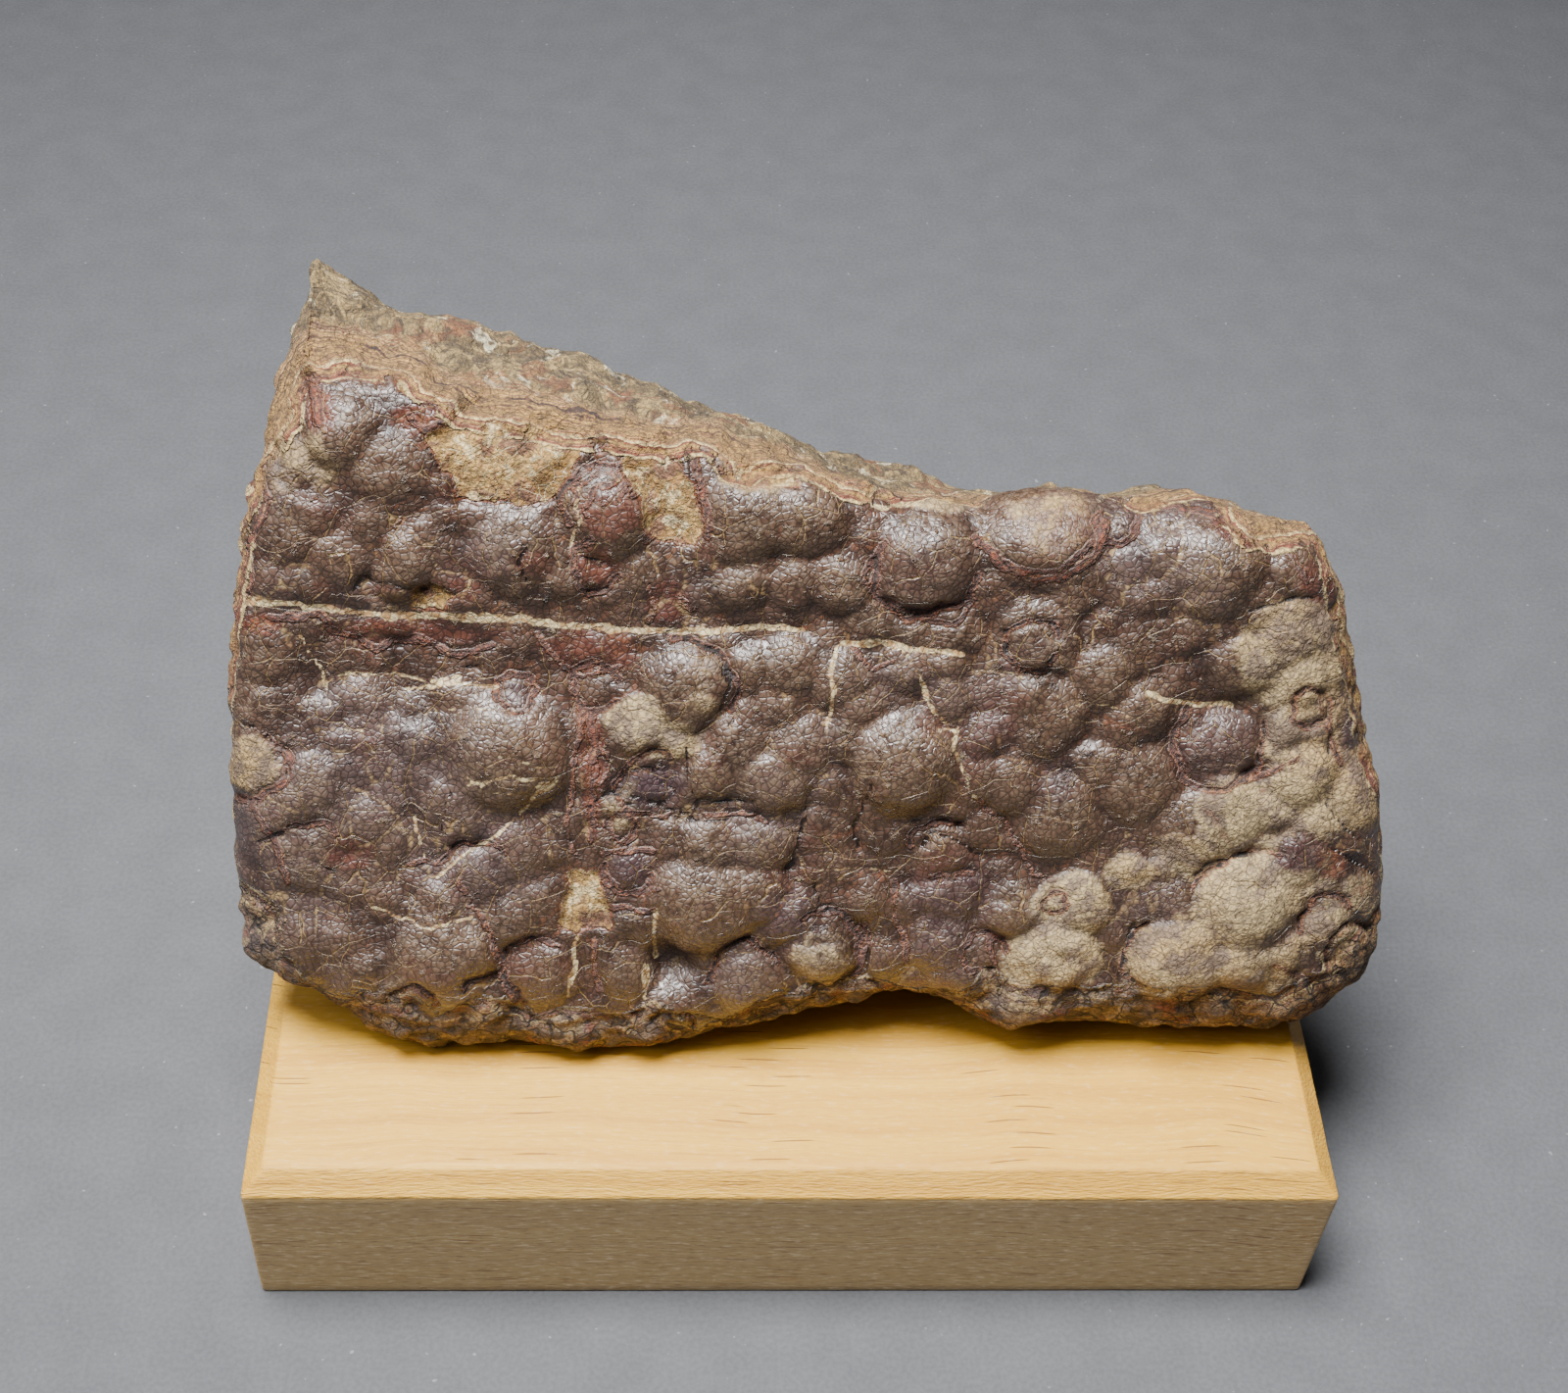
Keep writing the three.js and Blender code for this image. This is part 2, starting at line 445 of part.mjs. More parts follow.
// The wooden stand: a plain block with a chamfer round its top.
function standGeometry() {
  const { width, depth, height, chamfer } = STAND;
  const shell = new Shell();
  const level = (inset, z) => [
    [-width / 2 + inset, inset, z], [width / 2 - inset, inset, z],
    [width / 2 - inset, depth - inset, z], [-width / 2 + inset, depth - inset, z],
  ].map((p) => shell.add(p));
  const [foot, side, top] = [level(0, 0), level(0, height - chamfer), level(chamfer, height)];
  for (const [low, high] of [[foot, side], [side, top]])
    low.forEach((a, k) => {
      const n = (k + 1) % 4;
      shell.quad(a, low[n], high[n], high[k]);
    });
  shell.quad(...top);
  shell.quad(foot[3], foot[2], foot[1], foot[0]);
  return shell.geometry();
}

const part = new THREE.Group();
part.name = "schalenblende_sphalerite";
for (const [name, geometry, colour] of [
  ["stone", stoneGeometry(), 0x64504a],
  ["stand", standGeometry(), 0xdcb882],
]) {
  const mesh = new THREE.Mesh(geometry,
    new THREE.MeshStandardMaterial({ color: colour, roughness: 0.6, metalness: 0 }));
  mesh.name = name;
  part.add(mesh);
}

// The origin is under the middle of the whole, on the ground.
const whole = new THREE.Box3().setFromObject(part);
const middle = whole.getCenter(new THREE.Vector3());
for (const mesh of part.children) mesh.geometry.translate(-middle.x, -middle.y, -whole.min.z);

export default part;
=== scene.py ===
"""Dresses the schalenblende specimen and the wooden block it rests on over their CAD frame."""

import logging
import math
from collections.abc import Sequence
from dataclasses import dataclass, field
from enum import Enum

import bpy
import numpy as np
from mathutils import Matrix, Vector


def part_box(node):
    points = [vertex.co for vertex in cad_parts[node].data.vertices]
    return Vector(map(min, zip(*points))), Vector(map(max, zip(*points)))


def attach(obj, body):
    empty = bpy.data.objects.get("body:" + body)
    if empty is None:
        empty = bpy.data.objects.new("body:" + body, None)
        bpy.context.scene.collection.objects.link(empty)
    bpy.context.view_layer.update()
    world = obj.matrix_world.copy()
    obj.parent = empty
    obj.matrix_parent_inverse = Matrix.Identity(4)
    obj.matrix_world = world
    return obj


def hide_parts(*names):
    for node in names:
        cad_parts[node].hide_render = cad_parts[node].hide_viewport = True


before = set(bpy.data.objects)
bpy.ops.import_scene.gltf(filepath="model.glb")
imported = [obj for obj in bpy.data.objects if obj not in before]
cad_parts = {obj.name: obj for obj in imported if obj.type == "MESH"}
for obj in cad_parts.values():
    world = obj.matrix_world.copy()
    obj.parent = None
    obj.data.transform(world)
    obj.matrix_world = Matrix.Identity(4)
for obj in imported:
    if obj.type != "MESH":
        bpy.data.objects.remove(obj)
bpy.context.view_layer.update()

MM = 0.001
LOG = logging.getLogger("specimen")

Array = np.ndarray
Line = Sequence[tuple[float, ...]]


# Camera and stage.


@dataclass(frozen=True)
class PhotoCamera:
    """The photograph's camera, placed from the wooden block it was fitted to."""

    focal_px: float = 2337.3
    photo_width_px: float = 1600.0
    sensor_mm: float = 36.0
    pitch_deg: float = 46.903
    yaw_deg: float = -4.821
    roll_deg: float = 4.329
    from_block_mm: tuple[float, float, float] = (-20.65, -162.06, 299.51)

    def build(self, block_low: Vector, block_high: Vector) -> bpy.types.Object:
        """Adds the camera and makes it the scene's own.

        Args:
            block_low: Lowest corner of the wooden block, in metres.
            block_high: Highest corner of the wooden block, in metres.

        Returns:
            The camera.
        """
        pitch, yaw, roll = (
            math.radians(a) for a in (self.pitch_deg, self.yaw_deg, self.roll_deg)
        )
        right = Vector((math.cos(yaw), math.sin(yaw), 0))
        ahead = Vector(
            (-math.sin(yaw) * math.cos(pitch), math.cos(yaw) * math.cos(pitch), -math.sin(pitch))
        )
        up = Vector(
            (-math.sin(yaw) * math.sin(pitch), math.cos(yaw) * math.sin(pitch), math.cos(pitch))
        )
        side = right * math.cos(roll) + up * math.sin(roll)
        over = -right * math.sin(roll) + up * math.cos(roll)
        turn = Matrix((side, over, -ahead)).transposed().to_4x4()
        foot = Vector(((block_low.x + block_high.x) / 2, block_low.y, block_low.z))
        data = bpy.data.cameras.new("camera")
        data.sensor_width = self.sensor_mm
        data.lens = self.focal_px / self.photo_width_px * self.sensor_mm
        data.clip_start = 0.01
        camera = bpy.data.objects.new("camera", data)
        camera.matrix_world = Matrix.Translation(foot + Vector(self.from_block_mm) * MM) @ turn
        bpy.context.collection.objects.link(camera)
        bpy.context.scene.camera = camera
        return camera


# Shader helpers.


class Kind(str, Enum):
    """The shader nodes the finishes are made of."""

    NOISE = "ShaderNodeTexNoise"
    CELLS = "ShaderNodeTexVoronoi"
    RANGE = "ShaderNodeMapRange"
    MATH = "ShaderNodeMath"
    VECTOR = "ShaderNodeVectorMath"
    MIX = "ShaderNodeMix"
    ATTRIBUTE = "ShaderNodeAttribute"
    SPLIT = "ShaderNodeSeparateXYZ"
    JOIN = "ShaderNodeCombineXYZ"
    PLACE = "ShaderNodeTexCoord"
    BUMP = "ShaderNodeBump"
    SURFACE = "ShaderNodeBsdfPrincipled"
    OUTPUT = "ShaderNodeOutputMaterial"


Socket = bpy.types.NodeSocket
Value = float | tuple | Socket


def linear(hex_code: str) -> tuple[float, float, float, float]:
    """Turns an sRGB hex code such as "#8a6b4f" into a linear colour with alpha 1."""
    parts = [int(hex_code[i : i + 2], 16) / 255 for i in (1, 3, 5)]
    flat = [c / 12.92 if c <= 0.04045 else ((c + 0.055) / 1.055) ** 2.4 for c in parts]
    return (*flat, 1.0)


def add(
    tree: bpy.types.NodeTree,
    kind: Kind,
    inputs: dict[int | str, Value] | None = None,
    out: int | str = 0,
    **settings: object,
) -> Socket:
    """Adds a node with its settings, links or values, and gives one of its outputs.

    Args:
        tree: The material's node tree.
        kind: Which node to add.
        inputs: A value, or a socket to link, for each input by name or number.
        out: Name or number of the output to return.
        settings: Properties of the node itself.

    Returns:
        The chosen output socket, or the first input of a node with no output.
    """
    made = tree.nodes.new(kind.value)
    for name, value in settings.items():
        setattr(made, name, value)
    for key, value in (inputs or {}).items():
        if isinstance(value, Socket):
            tree.links.new(value, made.inputs[key])
        else:
            made.inputs[key].default_value = value
    return made.outputs[out] if made.outputs else made.inputs[0]


class Recipe:
    """A material being mixed: what its finishes share."""

    def __init__(self, name: str) -> None:
        self.material = bpy.data.materials.new(name)
        self.material.use_nodes = True
        self.tree = self.material.node_tree
        self.tree.nodes.clear()

    def lay(self, under: Value | str, over: Value | str, share: Value) -> Socket:
        """Lays one colour over another by a share from 0 to 1."""
        top = over if isinstance(over, Socket) else linear(over)
        low = under if isinstance(under, Socket) else linear(under)
        return add(self.tree, Kind.MIX, {0: share, 6: low, 7: top}, out=2, data_type="RGBA")

    def sums(self, operation: str, *values: Value) -> Socket:
        """One sum of numbers, such as MULTIPLY or ADD."""
        return add(self.tree, Kind.MATH, dict(enumerate(values)), operation=operation)

    def times(self, first: Value, second: Value) -> Socket:
        """Two numbers multiplied."""
        return self.sums("MULTIPLY", first, second)

    def step(self, value: Socket, low: float, high: float, to: Sequence[float] = (0, 1)) -> Socket:
        """Eases from to[0] at low to to[1] at high."""
        ends = {"Value": value, "From Min": low, "From Max": high}
        ends |= {"To Min": to[0], "To Max": to[1]}
        return add(self.tree, Kind.RANGE, ends, interpolation_type="SMOOTHSTEP")

    def grain(self, place: Socket, size_mm: float, detail: float = 3, rough: float = 0.55) -> Socket:
        """Noise about 0.5 whose lumps are size_mm wide, at a place in millimetres."""
        inputs = {"Vector": place, "Scale": 1 / size_mm, "Detail": detail, "Roughness": rough}
        return add(self.tree, Kind.NOISE, inputs)

    def coats(self, under: Value, *coats: tuple[str, Socket, float, float, float]) -> Socket:
        """Lays tones over each other: tone, value, where it begins and is full, most share."""
        for tone, value, low, high, most in coats:
            under = self.lay(under, tone, self.step(value, low, high, (0, most)))
        return under

    def finish(self, surface: dict[str, Value], heights: Sequence[tuple[Socket, float]]) -> None:
        """Closes the material with its surface and its fine relief.

        Args:
            surface: Inputs of the surface shader by name.
            heights: Relief from 0 to 1, and how many millimetres 1 stands for.
        """
        relief: Value = 0.0
        for height, depth_mm in heights:
            relief = self.sums("MULTIPLY_ADD", height, depth_mm, relief)
        if heights:
            normal = add(self.tree, Kind.BUMP, {"Height": relief, "Distance": MM})
            surface = surface | {"Normal": normal}
        shader = add(self.tree, Kind.SURFACE, surface)
        add(self.tree, Kind.OUTPUT, {"Surface": shader})


# Sizes in millimetres and places on the leaning face.

BLOCK = {"width": 150.0, "depth": 90.0, "height": 28.5, "chamfer": 3.0}
REST_GAP = 0.3
LEAN = math.radians(28)
FOOT_Y = 15.0
# The eye of the photo over the face: its place across and its distance.
EYE_U, EYE_REACH = -20.65, 315.0
# How far down the face a raised point seems to lie: a share of its height at the foot,
# and how much that share shrinks with each millimetre up.
EYE_DROP, DROP_SHRINK = 0.54, 0.0034
# Width of each rounded edge of the face.
ROLL = {"left": 8.0, "right": 13.0, "bottom": 14.0, "top": 8.0}
FACE_WIDTH, FACE_HEIGHT = 155.0, 90.0
LUMP_RISE = 0.42
# Share of the lumps' height that is left at each rim.
RIM_RISE = {"left": 0.35, "right": 0.35, "bottom": 0.6, "top": 0.7}
# How far the skin swells out over each rim, in millimetres.
RIM_SWELL = {"left": 1.5, "right": 2.3, "bottom": 2.4, "top": 0.0}
# Small lumps fill the gaps on a loose grid over the face.
FILLER = {"spacing": 4.6, "least": 2.4, "most": 3.9, "rise": 0.18, "clear": 0.8}
FILLER_GRID, FILLER_START = (37, 24), (-80, 2)
# Grooves along the marks: how deep, and how wide to each side.
GROOVES = {"crack": (0.4, 0.25), "red": (0.25, 0.4), "vein": (0.18, 0.5)}
# Share of a line's half width that its mark takes up.
LINE_WIDTH = {"vein": 1.0, "red": 0.6, "crack": 0.8}
# A distance at which a mark no longer shows, in millimetres.
FAR = 9.0
BACK_BULGE = 3.5

# fmt: off
BOTTOM_RIM = [
    (-74.2, 19.2, -6), (-70.2, 17.3, -6), (-65, 14, -7), (-58, 8, -7.5), (-50, 5.9, -8),
    (-40, 6.5, -8), (-30, 6, -7.5), (-20, 6.2, -7), (-10, 8.8, -9), (0, 11, -9),
    (8, 12.6, -10), (15, 14.5, -11), (20, 13.5, -11), (28, 8.6, -11), (40, 8.8, -12),
    (50, 8.3, -11.6), (60, 8.3, -11.6), (66, 8.6, -11.6), (71.5, 9.2, -12), (78.2, 12.6, -12),
]
LEFT_RIM = [
    (-74.2, 19.2, -6), (-75.1, 25, -7), (-75.4, 40, -7), (-75.2, 55, -7), (-74.3, 66, -6),
    (-73, 76, -6), (-71, 85, -6), (-68.3, 92, -6), (-66, 98, -6), (-65, 102, -6),
]
TOP_RIM = [
    (-65, 102, -6), (-60, 99.5, -5), (-50, 100, -5), (-45, 98, -5), (-40, 96.5, -5),
    (-35, 96, -5), (-30, 95.5, -5), (-25, 94, -5), (-20, 93.5, -5), (-15, 92, -5),
    (-10, 91, -5), (-5, 89.5, -5), (0, 88, -5), (5, 86.3, -5), (10, 84.8, -5),
    (20, 83.7, -6), (30, 84.3, -6), (40, 84.6, -6), (50, 84.2, -6), (55, 83.5, -6),
    (60.5, 82.2, -7), (66.4, 78.6, -9),
]
RIGHT_RIM = [
    (78.2, 12.6, -12), (80.7, 18, -12), (81.1, 24, -12), (80.5, 32, -12), (79, 42, -12),
    (76.2, 49, -11), (74.4, 57, -11), (71.8, 65.5, -10), (69.3, 72.4, -9), (66.4, 78.6, -9),
]
BACK_FOOT = [(-66, 70, 31), (-50, 76, 28.8), (-25, 80, 28.8), (10, 82, 28.8),
             (45, 79, 28.8), (74, 70, 30)]
BACK_TOP = [(-66.5, 106.9, -29.8), (-56, 102, -31), (-40, 99, -32), (-20, 92.5, -33),
            (0, 85.5, -33), (20, 79.5, -33), (40, 79, -32), (64, 74, -28)]
TOP_CREST = [(-66, 7.4), (-62, 5.6), (-58, 4.0), (-50, 3.4), (-36, 3.0), (-20, 2.4),
             (0, 1.7), (20, 0.8), (45, 0.8), (66, 0.6)]

# Lumps as read on the plane of the face: across, up, radius of the footprint.
LUMPS = [
    # upper left
    (-59.5, 92.5, 5), (-54.3, 87.5, 5), (-49.5, 90, 2.5), (-56.2, 81.7, 3.8), (-59.9, 83.9, 2),
    (-46.9, 81.7, 2.5), (-43.2, 82, 2.5), (-60.6, 76.5, 4), (-52.1, 75.8, 4.5),
    (-49.9, 78.7, 3), (-47.3, 77.3, 3), (-69.5, 73.2, 2.5), (-63.2, 72.4, 3),
    (-38.4, 77.6, 5.5), (-32, 75.4, 4), (-29.9, 80.6, 3), (-26.3, 83, 6.5), (-28, 75.8, 3),
    (-54.3, 99, 2.5), (-57.3, 97.6, 2.5), (-60.2, 98.4, 2), (-68.7, 87.3, 3), (-65.8, 87, 3),
    (-68.7, 82, 4), (-63.9, 82, 3.5), (-66.9, 78.4, 4),
    # upper middle
    (-8.7, 82.4, 6), (-2.1, 82.8, 6), (-22.4, 75.4, 3.8), (-17.6, 75.8, 2), (-13.6, 78, 2.5),
    (-9.1, 73.6, 4.2), (-2.8, 73.6, 3.8), (3.5, 73.9, 4.5), (14.4, 77, 6.6), (6.8, 81.3, 2.5),
    (23.5, 75, 3), (25.3, 72.4, 2), (4.2, 87.3, 3.5), (16.4, 84.5, 3),
    # upper right
    (29.6, 82, 8), (38.8, 82.8, 2.8), (42.5, 83.5, 2), (46.2, 83.9, 3), (54, 76.1, 4.5),
    (52.1, 77.3, 7), (46.6, 78.7, 4), (44, 81.3, 2.5), (41, 76.5, 3), (36.6, 76.1, 3),
    (33.3, 72.8, 3.5), (28.8, 73.2, 2), (44.7, 73.2, 3), (58.4, 72.4, 3.5), (62.5, 76.5, 4),
    # left, from the vein down
    (-70.6, 63, 4), (-65, 67, 3), (-62, 63, 3.5), (-57.3, 62.7, 3.5), (-58, 57.9, 3.5),
    (-46.5, 57.9, 3.5), (-38.4, 58.6, 2.5), (-32.8, 60.1, 2.5), (-28.4, 63.8, 3),
    (-28, 59.3, 3), (-72.4, 56, 4.5), (-68, 55.3, 2.5), (-65.8, 54.5, 2), (-62.4, 55.3, 2.5),
    (-66.9, 51.6, 2), (-62, 50.8, 2), (-58.7, 51.9, 3), (-53.9, 52.3, 3), (-51.3, 51.2, 3.5),
    (-46.9, 51.6, 3), (-47.3, 54.1, 2.5), (-39.5, 50.5, 8), (-33.2, 56.7, 2.5),
    (-31.3, 53.8, 2), (-73.2, 47.9, 4.5), (-65.8, 44.5, 5), (-62.4, 42.7, 4), (-58, 40, 4),
    (-55.8, 42.7, 3), (-53.9, 46.4, 2.5), (-57.3, 48.6, 2.5), (-46.5, 41.9, 5), (-24.3, 53, 3),
    # middle
    (-16.1, 59.7, 6), (-22.4, 54.5, 4.5), (-18, 52.3, 3.5), (-23.2, 42.7, 3),
    (-12.5, 47.5, 4.8), (-4.5, 47, 5.2), (-9, 51.5, 5), (-8.5, 55, 3.5), (-1.5, 51.5, 4.5),
    (-8.5, 62, 4), (-2.5, 62.5, 4.5), (-4, 57.5, 3.5), (3.9, 61.2, 4.5), (1.6, 66.4, 3),
    (6.8, 57.5, 4), (5.3, 53, 3.5), (13, 49.5, 7.5), (3.1, 45.6, 3), (5.3, 43.4, 3),
    (7.6, 42.7, 3), (1.3, 40.4, 3), (3.9, 40.1, 3), (10, 40.4, 3), (12.7, 39.7, 3),
    (-8.4, 69, 2.5), (7.6, 69, 4), (12.7, 67.9, 4), (17.6, 67.1, 4.5), (12.4, 63, 4),
    (17.6, 63.8, 3.5), (17.9, 59, 3.5), (23.5, 53.4, 4), (23.1, 59.3, 3), (22, 47.5, 4),
    (19.8, 43.4, 3), (23.9, 40.4, 3),
    # right
    (29.6, 66.7, 6), (37.7, 68.6, 3), (42.1, 67.1, 3.5), (45.9, 67.5, 3), (41.8, 72, 3),
    (43.6, 63.8, 2.5), (49.2, 68.2, 3), (56.6, 63.8, 5), (62.1, 67.5, 4), (65.9, 68.6, 3),
    (68, 67.5, 3), (64.4, 61.2, 4), (68.4, 64.1, 3), (67, 57.9, 2.5), (63.6, 55.3, 3.5),
    (60.3, 57.5, 3), (54.9, 52.3, 5), (38.5, 62, 5), (44, 57, 5), (43.3, 55.3, 4.5),
    (32.5, 56.7, 5), (28.8, 59.3, 4.5), (31, 53, 4), (25.9, 53.8, 3.5), (28.1, 50.1, 2.5),
    (32.9, 49.3, 2.5), (45.1, 46.7, 6), (38.8, 49.3, 4), (34.5, 42, 6), (27.3, 46.4, 4),
    (65.9, 47.9, 5), (74.4, 46.4, 5), (75.9, 42.7, 3), (56.6, 42.7, 6), (62.9, 43.4, 4),
    (69.2, 40.8, 4), (52.1, 45.6, 2.5), (47, 40.8, 3), (71.8, 54.5, 2.5),
    # lower left
    (-68.4, 41, 5), (-67.3, 38.4, 3), (-62.4, 39.2, 4.5), (-55.8, 37.3, 3.5),
    (-54.3, 38.4, 2.5), (-66, 34.5, 5.5), (-73.9, 32.9, 3), (-61.7, 31.8, 4), (-57.3, 33.3, 3),
    (-51.3, 37, 3), (-43.6, 32.9, 4.5), (-38, 36.6, 5), (-39.5, 26.2, 4.5), (-36.1, 29.2, 3.5),
    (-72.4, 27.7, 3), (-67.3, 28.1, 2.5), (-56.5, 29.2, 3.5), (-48.4, 28.4, 4.5),
    (-52, 26.2, 4), (-46.1, 26.2, 4), (-48.7, 20, 8), (-59.5, 18.8, 4.5), (-62, 23.3, 4),
    (-67.6, 23.3, 4), (-67.3, 19.9, 3.5), (-74.3, 23.3, 2.5), (-55.8, 14.4, 3.5),
    (-52.8, 11.4, 4), (-46.5, 11.8, 3.5), (-42.4, 14, 4), (-35.4, 18.1, 5), (-32.1, 9.6, 4.5),
    # lower middle
    (-23.6, 33.6, 3.2), (-17.3, 38.4, 3), (-12, 38, 4.5), (-6, 37.5, 5), (-13.5, 28.5, 7.3),
    (-6.5, 30.5, 4.5), (-22.4, 25.1, 3.5), (-23.9, 18.8, 4.5), (-26.5, 22.1, 3),
    (-18, 13.6, 3.5), (-16.9, 8.8, 3), (-1.8, 27, 4.5), (-7.3, 23.3, 2.5), (-7.3, 17.3, 5),
    (3.1, 21.8, 5), (6.1, 28.8, 3), (9, 29.9, 3.5), (0.9, 38.1, 3), (4.3, 38.4, 3),
    (9.4, 35.1, 2.5), (11.3, 38.4, 3), (14.2, 38.8, 3), (4.6, 34, 3), (0.9, 33.6, 3),
    (18.7, 36.6, 4.5), (19.8, 30.3, 5), (14.6, 29.2, 4), (19.8, 23.6, 5), (12.4, 21.8, 3),
    (21.6, 18.8, 4.5), (25.3, 21.8, 3), (16.4, 18.1, 3), (-2, 14.4, 3), (9, 16.6, 3),
    # lower right
    (28.8, 28.4, 4.5), (37.3, 29.2, 5), (34.7, 20.7, 6), (42.5, 25.5, 3), (32.1, 14.4, 5),
    (40.7, 15.9, 3.5), (44.4, 34, 3), (49.6, 34.4, 3), (53.6, 40.3, 6), (61, 29.6, 7.5),
    (51.8, 29.2, 4), (51.8, 20.3, 7), (61, 21, 5), (65.9, 22.1, 4), (67, 36.6, 4.5),
    (72.1, 35.5, 2.8), (76.6, 36.6, 3), (77, 32.9, 3), (72.1, 30.3, 3), (72.9, 26.2, 4),
    (77, 22.1, 4),
]
# Broad swells and valleys: across, up, reach across, reach up, height.
SWELLS = [
    (-57, 61, 17, 7, -2.6), (-48, 22, 13, 9, 1.2), (-12, 29, 11, 9, 1.2), (5, 49, 22, 9, 1.0),
    (57, 25, 13, 10, 1.4), (-39, 50, 9, 8, 0.8), (55, 72, 14, 9, 1.0), (-18, 19.5, 4, 4, -3),
    (20, 30, 9, 8, -0.8), (-30, 60, 7, 6, -1.0), (56, 58, 6, 4, -1.2), (-4, 68, 40, 3, -0.7),
]
# Outlines of the places where the skin is broken away.
BROKEN = [
    [(-49.1, 92.4), (-47.3, 93.2), (-45, 96.6), (-42, 98.3), (-40.6, 98), (-38.7, 96.5),
     (-36.9, 95.4), (-33, 95.9), (-30.2, 95), (-29.6, 92), (-30.2, 89.9), (-32.1, 87.3),
     (-33.9, 84.3), (-38, 83.4), (-39.3, 84.1), (-43.2, 83.9), (-45.4, 84.5),
     (-46.1, 86.9), (-47.3, 87.4), (-48, 89.5), (-49.3, 91.3)],
    [(-24.7, 89.5), (-22.4, 91.7), (-19.9, 91.7), (-18, 90.6), (-16.9, 88), (-16, 86.5),
     (-15, 84.3), (-14.3, 81.3), (-15.8, 78.7), (-20.6, 79.5), (-21.7, 80.6),
     (-22.4, 83.9), (-23.2, 86.1), (-24.7, 88)],
    [(-31.9, 33.3), (-27.6, 33.3), (-27.3, 30.7), (-25.8, 27.7), (-25.4, 25.1),
     (-29.9, 24.7), (-32.8, 25.1), (-32.4, 28.4), (-31.3, 31)],
    [(-53.6, 101.3), (-52.6, 98.6), (-50, 97), (-46.6, 96.8), (-45, 98.2), (-45.4, 101.3)],
    [(-12.4, 88), (-8, 89.8), (-3, 89), (-2, 86.8), (-6, 86.6), (-10, 86.5)],
    [(-51.9, 71.6), (-49.6, 73.1), (-47.8, 73), (-46.6, 71.2), (-47.5, 69.3), (-51.6, 69.3)],
]
# Edge of the brown skin, past which the layers under it show.
SKIN = [
    (-75, 53.5), (-74.4, 60.2), (-73.6, 65.5), (-72.6, 70.9), (-71.6, 75), (-71, 79),
    (-70.1, 83.7), (-69.2, 87.6), (-66.2, 90.3), (-64.3, 93), (-63.7, 98.7), (-57.7, 99.5),
    (-52.4, 98.9), (-51.2, 96.7), (-48.3, 95.2), (-46, 93), (-38.2, 92.1), (-29.9, 90.4),
    (-24.2, 89.7), (-17.7, 89.6), (-14.5, 90), (-11.8, 86.7), (-7.9, 86.2), (-6.7, 87.5),
    (-2.9, 88.3), (0.2, 86), (4.8, 84.4), (9.1, 84.2), (14.3, 85.3), (20.9, 84.4), (24, 87),
    (34, 87.4), (41.6, 84), (44, 84.9), (50.5, 86.3), (52.2, 82.7), (55.9, 79.3), (60, 78.6),
    (64.6, 80.2), (66.5, 74.6), (67.5, 71.2), (69.7, 64.2), (71.6, 59.3), (72.9, 54.2),
    (74.5, 49.4), (77.5, 43.9), (78.9, 35.7), (79.2, 29.6), (76, 25), (71.5, 22.6),
    (72.5, 19.5), (66.4, 16.4), (57.8, 17.1), (42, 17), (30.7, 16.9), (26.2, 20),
    (22.2, 16.1), (14.4, 16.8), (9.3, 18.2), (2.4, 17.4), (-1.8, 16.6), (-7, 13.5),
    (-13.5, 9.5), (-19.9, 14.6), (-24.8, 11.9), (-31.1, 13.3), (-36.7, 12.8), (-42.8, 15.2),
    (-49.8, 12.4), (-51.9, 14.6), (-58.7, 15.5), (-63.5, 15), (-67.2, 17.6), (-70.3, 22.7),
    (-68.6, 25.9), (-71.9, 28.9), (-75.1, 31.8), (-75.4, 38.3), (-75.6, 45.3),
]
